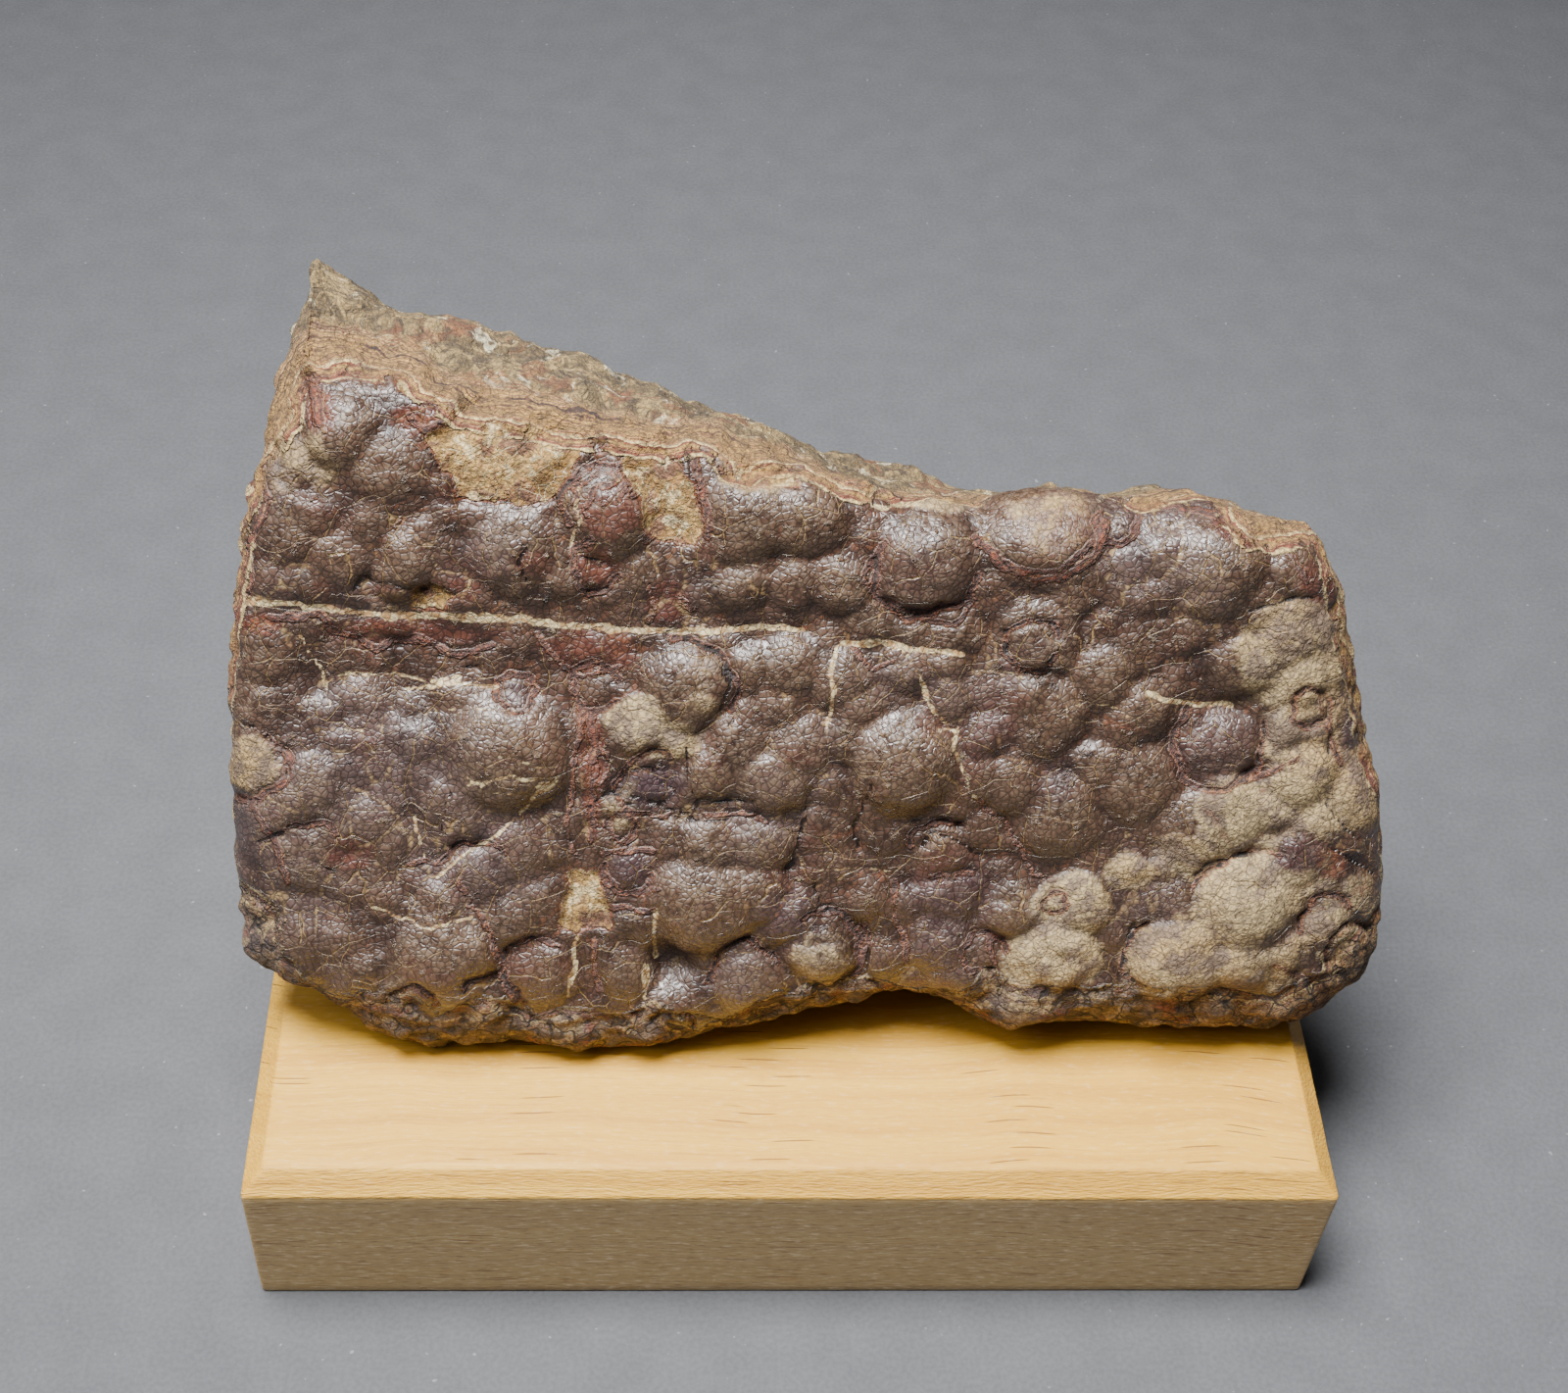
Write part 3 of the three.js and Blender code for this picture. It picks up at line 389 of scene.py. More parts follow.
# Lines read on the plane of the face. Cream veins, with their half width.
VEINS = [
    (0.42, [(-76, 70.6), (-67.3, 69.9), (-59.5, 68.8), (-52, 68.4), (-44.7, 68.7), (-39.1, 68.4),
            (-35.8, 68.1), (-20, 67.1), (-10, 67.6), (-4.3, 68), (-1.5, 67.8)]),
    (0.4, [(4, 65.7), (9, 66), (12.7, 65.4), (19.8, 64.5)]),
    (0.38, [(44.7, 59.7), (47.7, 58.6), (52.1, 57.9), (56.2, 58.4)]),
    (0.32, [(-30.6, 24), (-30.6, 19.6), (-31.5, 14.7)]),
    (0.3, [(-20, 27.7), (-20, 21)]), (0.35, [(-21, 19.6), (-21, 14.4)]),
    (0.25, [(2.9, 65), (2.9, 59), (2.6, 54)]), (0.3, [(-20.4, 93.5), (-20.4, 92)]),
    (0.25, [(-30.6, 86), (-30.4, 82), (-31.4, 78)]), (0.25, [(5, 87.5), (7, 84.5), (13, 84.8)]),
    (0.25, [(-53, 58.6), (-46, 59.6), (-41, 58.9)]), (0.22, [(-45, 45.5), (-39, 46.6), (-34, 45.8)]),
    (0.22, [(-66, 66), (-63.5, 61), (-62.6, 56.6)]), (0.2, [(-52, 41), (-50.6, 35)]),
    (0.22, [(-58, 28), (-50, 24.6), (-44.4, 26.6)]), (0.2, [(14, 62), (16.4, 56.6)]),
    (0.75, [(-18.8, 81.6), (-17, 81.3)]), (0.5, [(-47.4, 100.2), (-46.4, 99.8)]),
    (0.14, [(-64.2, 59), (-61.7, 60.4), (-55.3, 60.9), (-52, 60.3), (-48.6, 59.9), (-45.3, 60.4)]),
    (0.1, [(-60.6, 53.2), (-57.2, 53.3), (-53.8, 54), (-48.7, 55.9), (-42.8, 56.2), (-38.5, 56)]),
    (0.12, [(-41.1, 49.8), (-38.6, 48.9), (-35.2, 48.1), (-32.6, 48.3)]),
    (0.22, [(-32.6, 46.7), (-35.2, 44.4), (-37.8, 42), (-40.8, 38.7), (-43.9, 36.3),
            (-46.9, 34.4), (-49.1, 32)]),
    (0.12, [(-46.7, 49.3), (-44.6, 46.6), (-42.1, 44.3), (-37.8, 44.3), (-33, 45.8)]),
    (0.16, [(12.2, 64.7), (14.1, 61.5), (15.1, 58.8), (17, 56.1), (18.8, 54.3)]),
    (0.2, [(17.1, 54.1), (19.7, 54.3), (19.4, 51.6), (20.9, 48.3), (22.9, 44.2)]),
    (0.12, [(34.7, 58.2), (38.6, 57.8), (41.8, 56.7), (44.5, 55.6)]),
    (0.1, [(25.3, 62.2), (29.7, 60.9), (32.9, 59.1), (34.8, 55.9)]),
    (0.13, [(-0.4, 34.4), (2.2, 34), (5.8, 34.2), (9.3, 33.8), (12.9, 33.8)]),
]
# Red-orange broken edges of the shells.
RED_LINES = [
    (0.55, [(-70, 68), (-63.6, 68.6), (-62, 66.7), (-58.7, 65.6), (-56.5, 63.8), (-54.3, 65),
            (-50.6, 65.6), (-47.3, 63.8), (-43.9, 63.8), (-41, 65)]),
    (0.5, [(-46.1, 31.8), (-44.7, 28.1), (-42.8, 26.2), (-41.7, 21.8), (-40.2, 18.1), (-39.1, 12.9)]),
    (0.45, [(-28, 23.3), (-28.2, 18.8), (-27.3, 15.5)]),
    (0.55, [(12.4, 32.1), (12.7, 26.6), (14.2, 24), (14.6, 20.3)]),
    (0.35, [(5.3, 65.3), (8, 62.3), (11, 63.5)]),
    (0.8, [(-28.6, 55), (-28.2, 50), (-28.6, 45), (-28.2, 40)]),
    (0.5, [(-51.6, 94.8), (-49.5, 93.2), (-46.5, 94.2), (-44.6, 97.2), (-42, 98.9), (-38, 97.6)]),
    (0.6, [(-36, 98.3), (-31, 96), (-27, 94.6), (-22, 94.9), (-18, 93.4)]),
    (0.5, [(-26, 97), (-18, 95.2), (-10, 92.6), (-2, 91), (5, 89)]),
    (0.5, [(-64.6, 99.4), (-59, 99.8), (-55, 99.2)]), (0.9, [(-63, 98), (-62.6, 93.6)]),
    (0.6, [(-15.8, 91), (-15, 87), (-14, 84), (-13.6, 80)]),
    (0.5, [(-21.6, 74), (-20.6, 71), (-21.2, 68.6)]), (0.6, [(-17.6, 71.6), (-15.6, 70)]),
    (0.7, [(20.4, 80.6), (24, 77), (28.6, 74.7), (33, 75.6), (36.6, 78.6), (37.6, 83)]),
    (0.5, [(22.6, 79), (27, 75.8), (32, 76.4), (36, 80)]),
    (0.5, [(40, 85), (46, 85.4), (52, 84.2)]), (0.6, [(52, 85), (58, 82), (62, 79.6), (65, 75)]),
    (0.5, [(68, 60), (69.6, 55), (72, 50)]), (0.45, [(57, 47), (62, 48.6), (66, 50.6)]),
    (0.6, [(-71.6, 91), (-69.6, 84), (-71.8, 78), (-72.6, 71)]),
    (0.5, [(-73, 42), (-70.4, 37), (-69, 31)]), (0.5, [(-66, 14.6), (-60, 10.8), (-52, 9)]),
    (0.5, [(-38, 10.6), (-30, 12.6), (-24, 10.4)]), (0.6, [(-6, 12), (2, 13.6), (12, 15)]),
    (0.5, [(44, 14.4), (54, 13.6), (64, 14.6)]), (0.5, [(26, 24), (27, 18), (29, 13)]),
    (0.45, [(7.6, 18.6), (9.6, 22.6), (8.6, 26)]), (0.4, [(-26, 28), (-20, 27.6)]),
    (0.5, [(-26.6, 33), (-24, 30), (-19.6, 30.6)]), (0.4, [(-27, 36), (-20, 36.2)]),
    (0.35, [(17, 33), (23, 33.4)]), (0.4, [(66, 20), (70, 18), (76, 18.4)]),
    (0.4, [(-36, 67), (-34.3, 64.4), (-32.2, 62.2), (-30.1, 60.9), (-27.1, 61.4), (-25, 62.3)]),
    (0.3, [(-29.6, 57.3), (-30.4, 50.9), (-31.3, 43), (-31.7, 39.3), (-30.8, 35.5)]),
    (0.3, [(-27, 50.9), (-26.1, 48.7), (-27.8, 44.9), (-28.7, 41.2), (-28.7, 37.4)]),
    (0.35, [(-52.6, 33.9), (-50.8, 34.6), (-48.7, 34.4)]),
    (0.3, [(22.9, 44.2), (26.6, 41.4), (29.6, 36.6), (31.1, 33.8), (33.9, 32.6)]),
    (0.3, [(-13.8, 41.4), (-10.3, 41.9), (-6.8, 41.4), (-5, 40.5)]),
]
# Dark open cracks, some beside the lifted edge of a shell.
CRACKS = [
    (0.24, [(-58.9, 71.5), (-58, 73.8), (-55.6, 73.1), (-53, 72.6), (-49.9, 71.9)]),
    (0.26, [(-49.4, 91.2), (-47.4, 87.3), (-46, 86.8), (-45.5, 84.3), (-43.2, 83.7), (-39.4, 84),
            (-38.2, 83.2), (-33.8, 84.1), (-31.8, 86.6)]),
    (0.2, [(-14, 43.5), (-10, 43.9), (-7, 43.5)]),
    (0.22, [(-0.2, 41.8), (-1, 37.3), (-1.3, 34.7), (-2.4, 33.3)]),
    (0.24, [(1.6, 31.4), (2.7, 28.4), (5.3, 27.3), (8.3, 25.5), (9.8, 23.3), (9, 18)]),
    (0.22, [(15.5, 37), (17.2, 39.6), (19.8, 38.4), (23.9, 35.9)]),
    (0.24, [(57, 71), (61, 72), (63, 73), (66, 73.2)]),
    (0.22, [(71, 45), (70.7, 43.8), (73.3, 41.4), (75.1, 39)]),
    (0.22, [(71.4, 37.9), (73.6, 37), (75.9, 35.3), (78.4, 34.2)]),
    (0.2, [(70.3, 54), (70.3, 51.5)]), (0.22, [(-72.8, 37.3), (-68.4, 38.6)]),
    (0.24, [(53.3, 33.3), (54.7, 34.7), (58.4, 36.2), (62.1, 36.4)]),
    (0.22, [(-16.6, 66), (-12, 64.4), (-10.4, 60), (-12, 55.6)]),
    (0.2, [(-74, 53.6), (-69.6, 52.4)]), (0.2, [(-24, 43), (-17, 43.6)]),
    (0.22, [(-38.4, 79.6), (-37, 78), (-38.2, 76), (-37.2, 73.6)]), (0.2, [(-30, 77), (-26.4, 76)]),
    (0.25, [(45.4, 26.6), (44.4, 22), (46, 17.6)]), (0.2, [(61.6, 13.8), (62.2, 10.8)]),
    (0.22, [(-17.6, 41), (-13, 40.6), (-10, 41)]), (0.22, [(8.6, 46), (6.6, 40), (7.4, 36.6)]),
    (0.2, [(-41, 12.6), (-36.4, 10.6)]), (0.22, [(-14.6, 12), (-9.6, 10.8)]),
    (0.14, [(-46.8, 45.6), (-47.7, 41.9), (-48.4, 38.1)]),
    (0.16, [(-16.3, 51.1), (-15.8, 47.9), (-15.3, 45.1), (-14.2, 42.3)]),
    (0.26, [(-28.7, 42.1), (-26.5, 44.5), (-23.5, 44.3), (-20, 43.4), (-18.3, 42.2), (-14.8, 41.4)]),
    (0.2, [(-48.6, 63.3), (-46.1, 62), (-42.7, 61.8)]), (0.2, [(-65.3, 34.4), (-62.5, 33)]),
    (0.14, [(-24.4, 46.8), (-23.1, 48.2), (-20.5, 48.5), (-19.7, 46.4), (-17.5, 45.1), (-17.9, 42.7)]),
    (0.16, [(-13.8, 65.4), (-12.1, 63.6), (-11, 60.7), (-10, 58), (-9.8, 55.7), (-11, 54.4)]),
    (0.16, [(25.1, 68), (25.5, 65.8), (26.5, 63.5), (28.3, 61.8), (30.1, 61.3), (31.7, 62.7)]),
    (0.14, [(0.5, 45.3), (0, 42.5), (-1, 39.2), (-1.1, 35.8), (-1.7, 32.5), (-0.5, 31.5)]),
]
# Shells broken in a ring: across, up, radius, first and last angle, red part, dark part.
RINGS = [
    (-26.3, 83, 6.3, -40, 200, 0.5, 0.16), (-26.5, 83.4, 4.6, 10, 170, 0.45, 0.12),
    (-26.2, 83.2, 3.2, 30, 190, 0.4, 0.1), (14.4, 76.6, 6.6, 150, 350, 0.45, 0.24),
    (14.6, 76, 7.4, 170, 330, 0.4, 0.12), (38.8, 82.8, 2.8, 150, 380, 0.5, 0.12),
    (-38.4, 58.6, 2.7, 0, 360, 0.5, 0.12), (-28, 59.3, 3.2, 20, 330, 0.45, 0.12),
    (-73.2, 47.9, 4.8, -110, 60, 0.6, 0.18), (-16.1, 59.7, 6.3, -30, 110, 0.4, 0.22),
    (-20.6, 45.7, 4.6, 60, 300, 0.3, 0.12), (-24.3, 39.5, 1.9, 0, 360, 0.5, 0.1),
    (28.8, 66, 3.6, 20, 335, 0.15, 0.26), (54.9, 52.3, 6.1, 130, 390, 0.5, 0.28),
    (67, 57.9, 2.6, 0, 360, 0.5, 0.12), (-7.3, 17.6, 5.2, 30, 190, 0.3, 0.3),
    (3.1, 22, 5.3, -70, 120, 0.5, 0.24), (61, 29.6, 7.4, 60, 170, 0.15, 0.28),
    (51.8, 20.6, 7.1, 130, 220, 0.1, 0.3), (-43.6, 32.9, 4.7, 40, 160, 0.35, 0.2),
    (-35.4, 18.3, 5, 60, 250, 0.4, 0.16), (25.3, 21.8, 3, 0, 300, 0.5, 0.1),
    (34.6, 29.2, 1.6, 0, 360, 0.45, 0.1), (-23.6, 33.4, 3.5, 160, 350, 0.45, 0.16),
    (-42.4, 13.6, 4, 20, 150, 0.25, 0.24), (-16.9, 9, 3, 20, 160, 0.3, 0.22),
    (-28, 75.8, 3.2, 100, 330, 0.5, 0.2), (72.9, 26.4, 4.2, 40, 200, 0.4, 0.2),
    (77, 22.4, 3.8, 60, 210, 0.4, 0.14), (-52.8, 11.6, 4, 20, 160, 0.3, 0.2),
    (-66, 34.5, 5.3, 40, 130, 0.4, 0.14), (18.7, 36.6, 4.6, 60, 170, 0.4, 0.2),
]
# Pale, weathered skin: across, up, reach across, reach up, share.
PALE = [
    (64, 65, 8, 8, 0.85), (60, 43, 8, 5, 1.0), (70, 46, 9, 6, 1.0), (37, 28.6, 5.5, 5, 0.95),
    (34.7, 20.7, 7, 5, 1.0), (33, 14, 6, 4, 0.75), (55, 36, 9, 4, 0.75), (61, 29, 8, 7, 0.8),
    (52, 20, 8, 7, 0.85), (62, 20, 7, 6, 0.7), (72, 28, 8, 9, 0.55), (44.4, 34, 4, 3, 0.8),
    (-22.4, 54.5, 4.5, 4, 0.8), (-18, 52.3, 4, 3, 0.7), (-73.2, 47.9, 4, 4, 0.7),
    (3, 21.5, 4.5, 4.5, 0.55), (-16, 59.7, 5.5, 5, 0.35), (49, 70, 14, 3, 0.2),
    (-32, 9.6, 4.5, 4, 0.55), (-65, 89, 5, 5, 0.45), (-7, 87.8, 6, 2.4, 0.6),
    (29.6, 83, 7, 6, 0.4), (16.4, 86, 6, 2.4, 0.6), (-55.8, 14.4, 3.5, 3, 0.5),
    (-53, 70.6, 6, 1.8, 0.5), (66, 55, 6, 6, 0.7), (-60, 86, 5, 3, 0.25), (-24, 43, 3, 4, 0.5),
]
# Reddish plates and the purple-grey ones: across, up, reach across, reach up, share.
REDDISH = [
    (-52, 66.4, 12, 1.6, 0.75), (-49.5, 94.5, 4.5, 2, 1.0), (-62.5, 95.5, 1.8, 3.6, 0.9),
    (-71, 67.3, 3, 1.4, 1.0),
    (-28.4, 47.5, 1.6, 9, 0.9), (-29, 64.3, 7, 3.2, 0.6), (-26.3, 83, 4.5, 4.5, 0.55),
    (-28, 75.8, 2.6, 2.6, 0.8), (-36, 76, 3, 2.6, 0.45), (-55, 71.4, 4, 1.6, 0.5),
    (-44.8, 72.6, 2.4, 2.2, 0.5), (29.6, 82.6, 7, 5, 0.45), (57.6, 82.6, 7, 2.6, 0.7),
    (72.1, 35.5, 2.6, 2.4, 0.8), (77, 22.1, 4, 4, 0.6), (-19, 71, 3, 3.4, 0.6),
    (-60.5, 35.6, 3.5, 2.6, 0.6), (52.1, 38.4, 2.4, 1.4, 0.5), (-40, 26, 3, 4, 0.3),
    (19, 34, 5, 4, 0.35), (14, 15.6, 12, 2, 0.6), (-34, 11.6, 5, 2, 0.4), (44.6, 74, 2, 3, 0.3),
    (68.4, 40.6, 4, 4, 0.3), (-12, 93, 10, 2, 0.7), (-40, 99, 9, 1.6, 0.6), (66, 74, 3, 5, 0.5),
]
PURPLE = [
    (-20.5, 45.8, 4.4, 3, 1.0), (-23.6, 33.6, 3.4, 3.2, 0.8), (69.2, 40.8, 4, 4, 0.6),
    (67, 36.6, 4.5, 4, 0.6), (20, 30, 6, 6, 0.7), (19, 23, 5, 5, 0.6), (-1.8, 27, 4.5, 4.5, 0.7),
    (54.9, 52.3, 5, 5, 0.5), (33.6, 47, 2.5, 3, 0.5), (-38.4, 58.6, 2.2, 2.2, 0.7),
    (-44, 33, 4, 4, 0.3), (23.5, 53.4, 4, 4, 0.4), (14.4, 76, 6, 5, 0.3), (30, 66, 4, 4, 0.2),
]
# fmt: on


# Shape helpers.


def ease(x: Array) -> Array:
    """Runs from 0 to 1 with level ends."""
    x = np.clip(x, 0, 1)
    return x * x * (3 - 2 * x)


def chance(i: Array, j: Array, k: Array | float = 0) -> Array:
    """A repeatable number from 0 to 1 for whole numbers."""
    x = np.sin(i * 12.9898 + j * 78.233 + k * 37.719) * 43758.5453
    return x - np.floor(x)


def noise(x: Array, y: Array, z: Array) -> Array:
    """Smooth noise from -1 to 1 in space, one wave a unit."""
    x, y, z = np.broadcast_arrays(x, y, z)
    i, j, k = np.floor(x), np.floor(y), np.floor(z)
    a, b, c = ease(x - i), ease(y - j), ease(z - k)
    total = np.zeros(x.shape)
    for di in (0, 1):
        for dj in (0, 1):
            for dk in (0, 1):
                share = (a if di else 1 - a) * (b if dj else 1 - b) * (c if dk else 1 - c)
                total += share * chance(i + di, j + dj, k + dk)
    return total * 2 - 1


def from_face(p: Array) -> Array:
    """Turns points (u, v, h) of the leaning face into the block's frame, in millimetres."""
    u, v, h = p[..., 0], p[..., 1], p[..., 2]
    y = FOOT_Y + v * math.sin(LEAN) - h * math.cos(LEAN)
    z = BLOCK["height"] + v * math.cos(LEAN) + h * math.sin(LEAN)
    return np.stack([u, y, z], -1)


def turned(p: Array) -> Array:
    """Turns a direction of the face's frame into the block's frame."""
    return from_face(p) - from_face(np.zeros(3))


def along(line: Line | Array, share: Array) -> Array:
    """The points at shares of the length of a line of points."""
    points = np.asarray(line, float)
    reach = np.concatenate([[0], np.cumsum(np.linalg.norm(np.diff(points, axis=0), axis=1))])
    at = np.asarray(share) * reach[-1]
    return np.stack([np.interp(at, reach, points[:, k]) for k in range(3)], -1)


def stretched(edges: Sequence[Line | Array], s: Array, t: Array) -> Array:
    """A surface stretched between its bottom, top, left and right edges."""
    bottom, top, left, right = (np.asarray(e, float) for e in edges)
    s1, t1 = s[..., None], t[..., None]
    low = bottom[0] * (1 - s1) + bottom[-1] * s1
    high = top[0] * (1 - s1) + top[-1] * s1
    return (
        along(bottom, s) * (1 - t1) + along(top, s) * t1
        + along(left, t) * (1 - s1) + along(right, t) * s1
        - low * (1 - t1) - high * t1
    )


def spread(step: Array, near: float, far: float) -> Array:
    """Spreads even steps so that they close up on the rounded edges."""
    arc = math.pi / 2
    place = step * (1 + (arc - 1) * (near + far))
    back = 1 + (arc - 1) * (near + far) - place
    middle = near + (place - near * arc)
    start = near * (1 - np.cos(np.minimum(place / near, arc)))
    end = 1 - far * (1 - np.cos(np.minimum(back / far, arc)))
    return np.where(place < near * arc, start, np.where(back < far * arc, end, middle))


def to_line(u: Array, v: Array, line: Line) -> Array:
    """Distance from places on the face to a line of points."""
    nearest = np.full(u.shape, 99.0)
    for (au, av), (bu, bv) in zip(line, line[1:]):
        du, dv = bu - au, bv - av
        t = np.clip(((u - au) * du + (v - av) * dv) / (du * du + dv * dv), 0, 1)
        nearest = np.minimum(nearest, np.hypot(u - au - du * t, v - av - dv * t))
    return nearest


def outside(u: Array, v: Array, edge: Line) -> Array:
    """Distance to an outline, below zero inside it."""
    closed = [*edge, edge[0]]
    inside = np.zeros(u.shape, bool)
    for (au, av), (bu, bv) in zip(closed, closed[1:]):
        if av != bv:
            inside ^= ((av > v) != (bv > v)) & (u < au + (v - av) * (bu - au) / (bv - av))
    far = to_line(u, v, closed)
    return np.where(inside, -far, far)


def arc_line(u: float, v: float, radius: float, start: float, end: float, index: int) -> Line:
    """A wavering arc of a broken shell."""
    angles = np.radians(np.linspace(start, end, 26))
    waver = 1 + 0.07 * np.sin(angles * 3 + index) + 0.05 * np.sin(angles * 7 + index * 2.3)
    reach = radius * waver
    return list(zip(u + reach * np.cos(angles), v + reach * np.sin(angles)))


def blobs(u: Array, v: Array, spots: Sequence[tuple[float, ...]]) -> Array:
    """The strongest of several soft spots, from 0 to 1."""
    best = np.zeros(u.shape)
    for cu, cv, ru, rv, share in spots:
        far = np.hypot((u - cu) / ru, (v - cv) / rv)
        best = np.maximum(best, share * ease((1.45 - far) / 0.9))
    return best


# Finishes.


@dataclass(frozen=True)
class OreFinish:
    """Weathered schalenblende: a leathery brown skin over layered cream and rusty rock."""

    # The satin skin: deep brown, also painted as shade in the creases, brown, lilac-grey and rubbed on
    # the crowns.
    deep_brown: str = "#33221b"
    brown: str = "#503a2e"
    lilac_grey: str = "#57494a"
    worn_brown: str = "#66523f"
    purple: str = "#423034"
    dull_red: str = "#5b3328"
    rust: str = "#94512f"
    crack_dark: str = "#1f120d"
    # Weathered places give the eye a chalky greenish tan with purple-brown blotches.
    tan: str = "#b0986c"
    ochre: str = "#9f773a"
    blotch: str = "#6b5648"
    # Hair cracks, creases, shell edges and veins, each filled with rust or cream.
    web: str = "#94784f"
    small_web: str = "#7d5f45"
    crease: tuple[str, str] = ("#7a4c34", "#a5895f")
    shell: tuple[str, str] = ("#8a4529", "#b58a5f")
    vein: tuple[str, str] = ("#cdb98c", "#a07c50")
    # Bare places under the broken skin: ochre to cream with brown and pale spots.
    bare: tuple[str, ...] = ("#866329", "#b08c4e", "#8a6238", "#6a4430", "#cfb886", "#e3d5ae")
    # Crust: thin brown, ochre, rust, cream, umber, black, gold and brown layers.
    crust: tuple[str, ...] = ("#573522", "#a17c3f", "#6f3820", "#cbb077", "#7d5428", "#35221a",
                              "#8f6a30", "#5f3f2b")
    # Rock behind the crust: olive grey with dark, rusty and white grains.
    rock: tuple[str, ...] = ("#5f4c2c", "#907749", "#3e2f1e", "#6e3f1e", "#c9bd9c")
    # Plates of skin that wrap round the foot.
    plates: tuple[str, ...] = ("#493835", "#77624c", "#7a4030", "#a48c64")
    wrinkle_mm: float = 0.85
    web_mm: float = 5.5
    skin_roughness: float = 0.36
    rock_roughness: float = 0.85
    ior: float = 1.7

    def _readings(self, mix: Recipe) -> dict[str, Socket]:
        """What the mesh stores for each point, and the grains that all coats share."""
        tree = mix.tree
        names = ("broken", "vein", "red", "crack", "crease", "pale", "reddish", "purple",
                 "depth", "crown")
        on = {n: add(tree, Kind.ATTRIBUTE, out="Fac", attribute_name=n) for n in names}
        place = add(tree, Kind.ATTRIBUTE, out="Vector", attribute_name="place")
        on |= {"place": place, "wide": mix.grain(place, 22, 2), "patch": mix.grain(place, 5.5, 4),
               "fine": mix.grain(place, 1.1, 3), "speck": mix.grain(place, 0.42, 2),
               "islands": mix.grain(place, 4.2, 4, 0.6)}
        on["fray"] = mix.sums("MULTIPLY_ADD", mix.grain(place, 1.6, 4, 0.65), 1.3, -0.65)
        shift = add(tree, Kind.NOISE, {"Vector": place, "Scale": 0.2, "Detail": 2}, out="Color")
        shift = add(tree, Kind.VECTOR, {0: shift, 1: (0.5, 0.5, 0.5)}, operation="SUBTRACT")
        for name, reach in (("bent", 1.6), ("stone_at", 9)):
            on[name] = add(tree, Kind.VECTOR, {0: shift, 1: (reach, reach, reach), 2: place},
                           operation="MULTIPLY_ADD")
        on["across"] = add(tree, Kind.SPLIT, {0: place}, out="X")
        on["low"] = add(tree, Kind.SPLIT, {0: place}, out="Z")
        return on

    def _cells(self, mix: Recipe, place: Socket, scale: float) -> Socket:
        """Distance to the edges of cells, for cracks that meet."""
        return add(mix.tree, Kind.CELLS, {"Vector": place, "Scale": scale},
                   feature="DISTANCE_TO_EDGE")

    def _skin(self, mix: Recipe, on: dict[str, Socket]) -> Socket:
        """The brown skin with its red and purple stains and its weathered places."""
        lay, step, times, place = mix.lay, mix.step, mix.times, on["place"]
        colour = lay(self.deep_brown, self.brown, step(on["patch"], 0.32, 0.58))
        colour = lay(colour, self.lilac_grey, step(on["wide"], 0.5, 0.68, (0, 0.45)))
        rubbed = times(step(on["crown"], 0.2, 2.2), step(on["fine"], 0.38, 0.62, (0.1, 0.8)))
        colour = lay(colour, self.worn_brown, rubbed)
        colour = lay(colour, self.dull_red, step(mix.grain(place, 9, 3), 0.55, 0.7, (0, 0.35)))
        colour = lay(colour, self.purple, times(on["purple"], 0.85))
        stain = mix.sums("MULTIPLY_ADD", on["patch"], 0.8, -0.4)
        stain = mix.sums("ADD", on["reddish"], stain)
        colour = lay(colour, self.dull_red, step(stain, 0.2, 0.6, (0, 0.75)))
        colour = lay(colour, self.rust,
                     times(step(stain, 0.55, 1.0, (0, 0.6)), step(on["fine"], 0.4, 0.6)))
        worn = mix.sums("MULTIPLY_ADD", on["patch"], 1.3, -0.72)
        on["worn"] = step(mix.sums("ADD", on["pale"], worn), 0.2, 0.6)
        tan = mix.coats(self.tan, (self.ochre, on["wide"], 0.4, 0.65, 0.5),
                        (self.blotch, mix.grain(place, 4.6, 5, 0.62), 0.5, 0.57, 0.8))
        return lay(colour, tan, times(on["worn"], step(on["fine"], 0.4, 0.6, (0.62, 1))))

    def _lines(self, mix: Recipe, on: dict[str, Socket], colour: Socket) -> Socket:
        """Hair cracks, creases, broken shell edges and open cracks."""
        lay, step, times, fray, fine = mix.lay, mix.step, mix.times, on["fray"], on["fine"]
        # A web of hair cracks filled with cream, strongest on the brown skin.
        web = step(self._cells(mix, on["bent"], 1 / self.web_mm), 0.005, 0.017, (1, 0))
        small = step(self._cells(mix, on["bent"], 0.45), 0.008, 0.026, (1, 0))
        on["web"] = times(web, step(on["islands"], 0.4, 0.52, (0.1, 1)))
        on["small_web"] = times(small, step(on["islands"], 0.46, 0.58))
        colour = lay(colour, self.web, times(on["web"], 0.75))
        colour = lay(colour, self.small_web, times(on["small_web"], 0.6))

        # Creases between lumps get a deep brown painted shade, and in places rust or cream.
        seam = mix.sums("MULTIPLY_ADD", fray, 0.35, on["crease"])
        colour = lay(colour, self.deep_brown, times(step(seam, 0.05, 0.5, (1, 0)), 0.36))
        line = times(step(seam, 0.0, 0.16, (1, 0)), step(on["patch"], 0.42, 0.56))
        colour = lay(colour, lay(*self.crease, step(on["wide"], 0.46, 0.54)), times(line, 0.6))

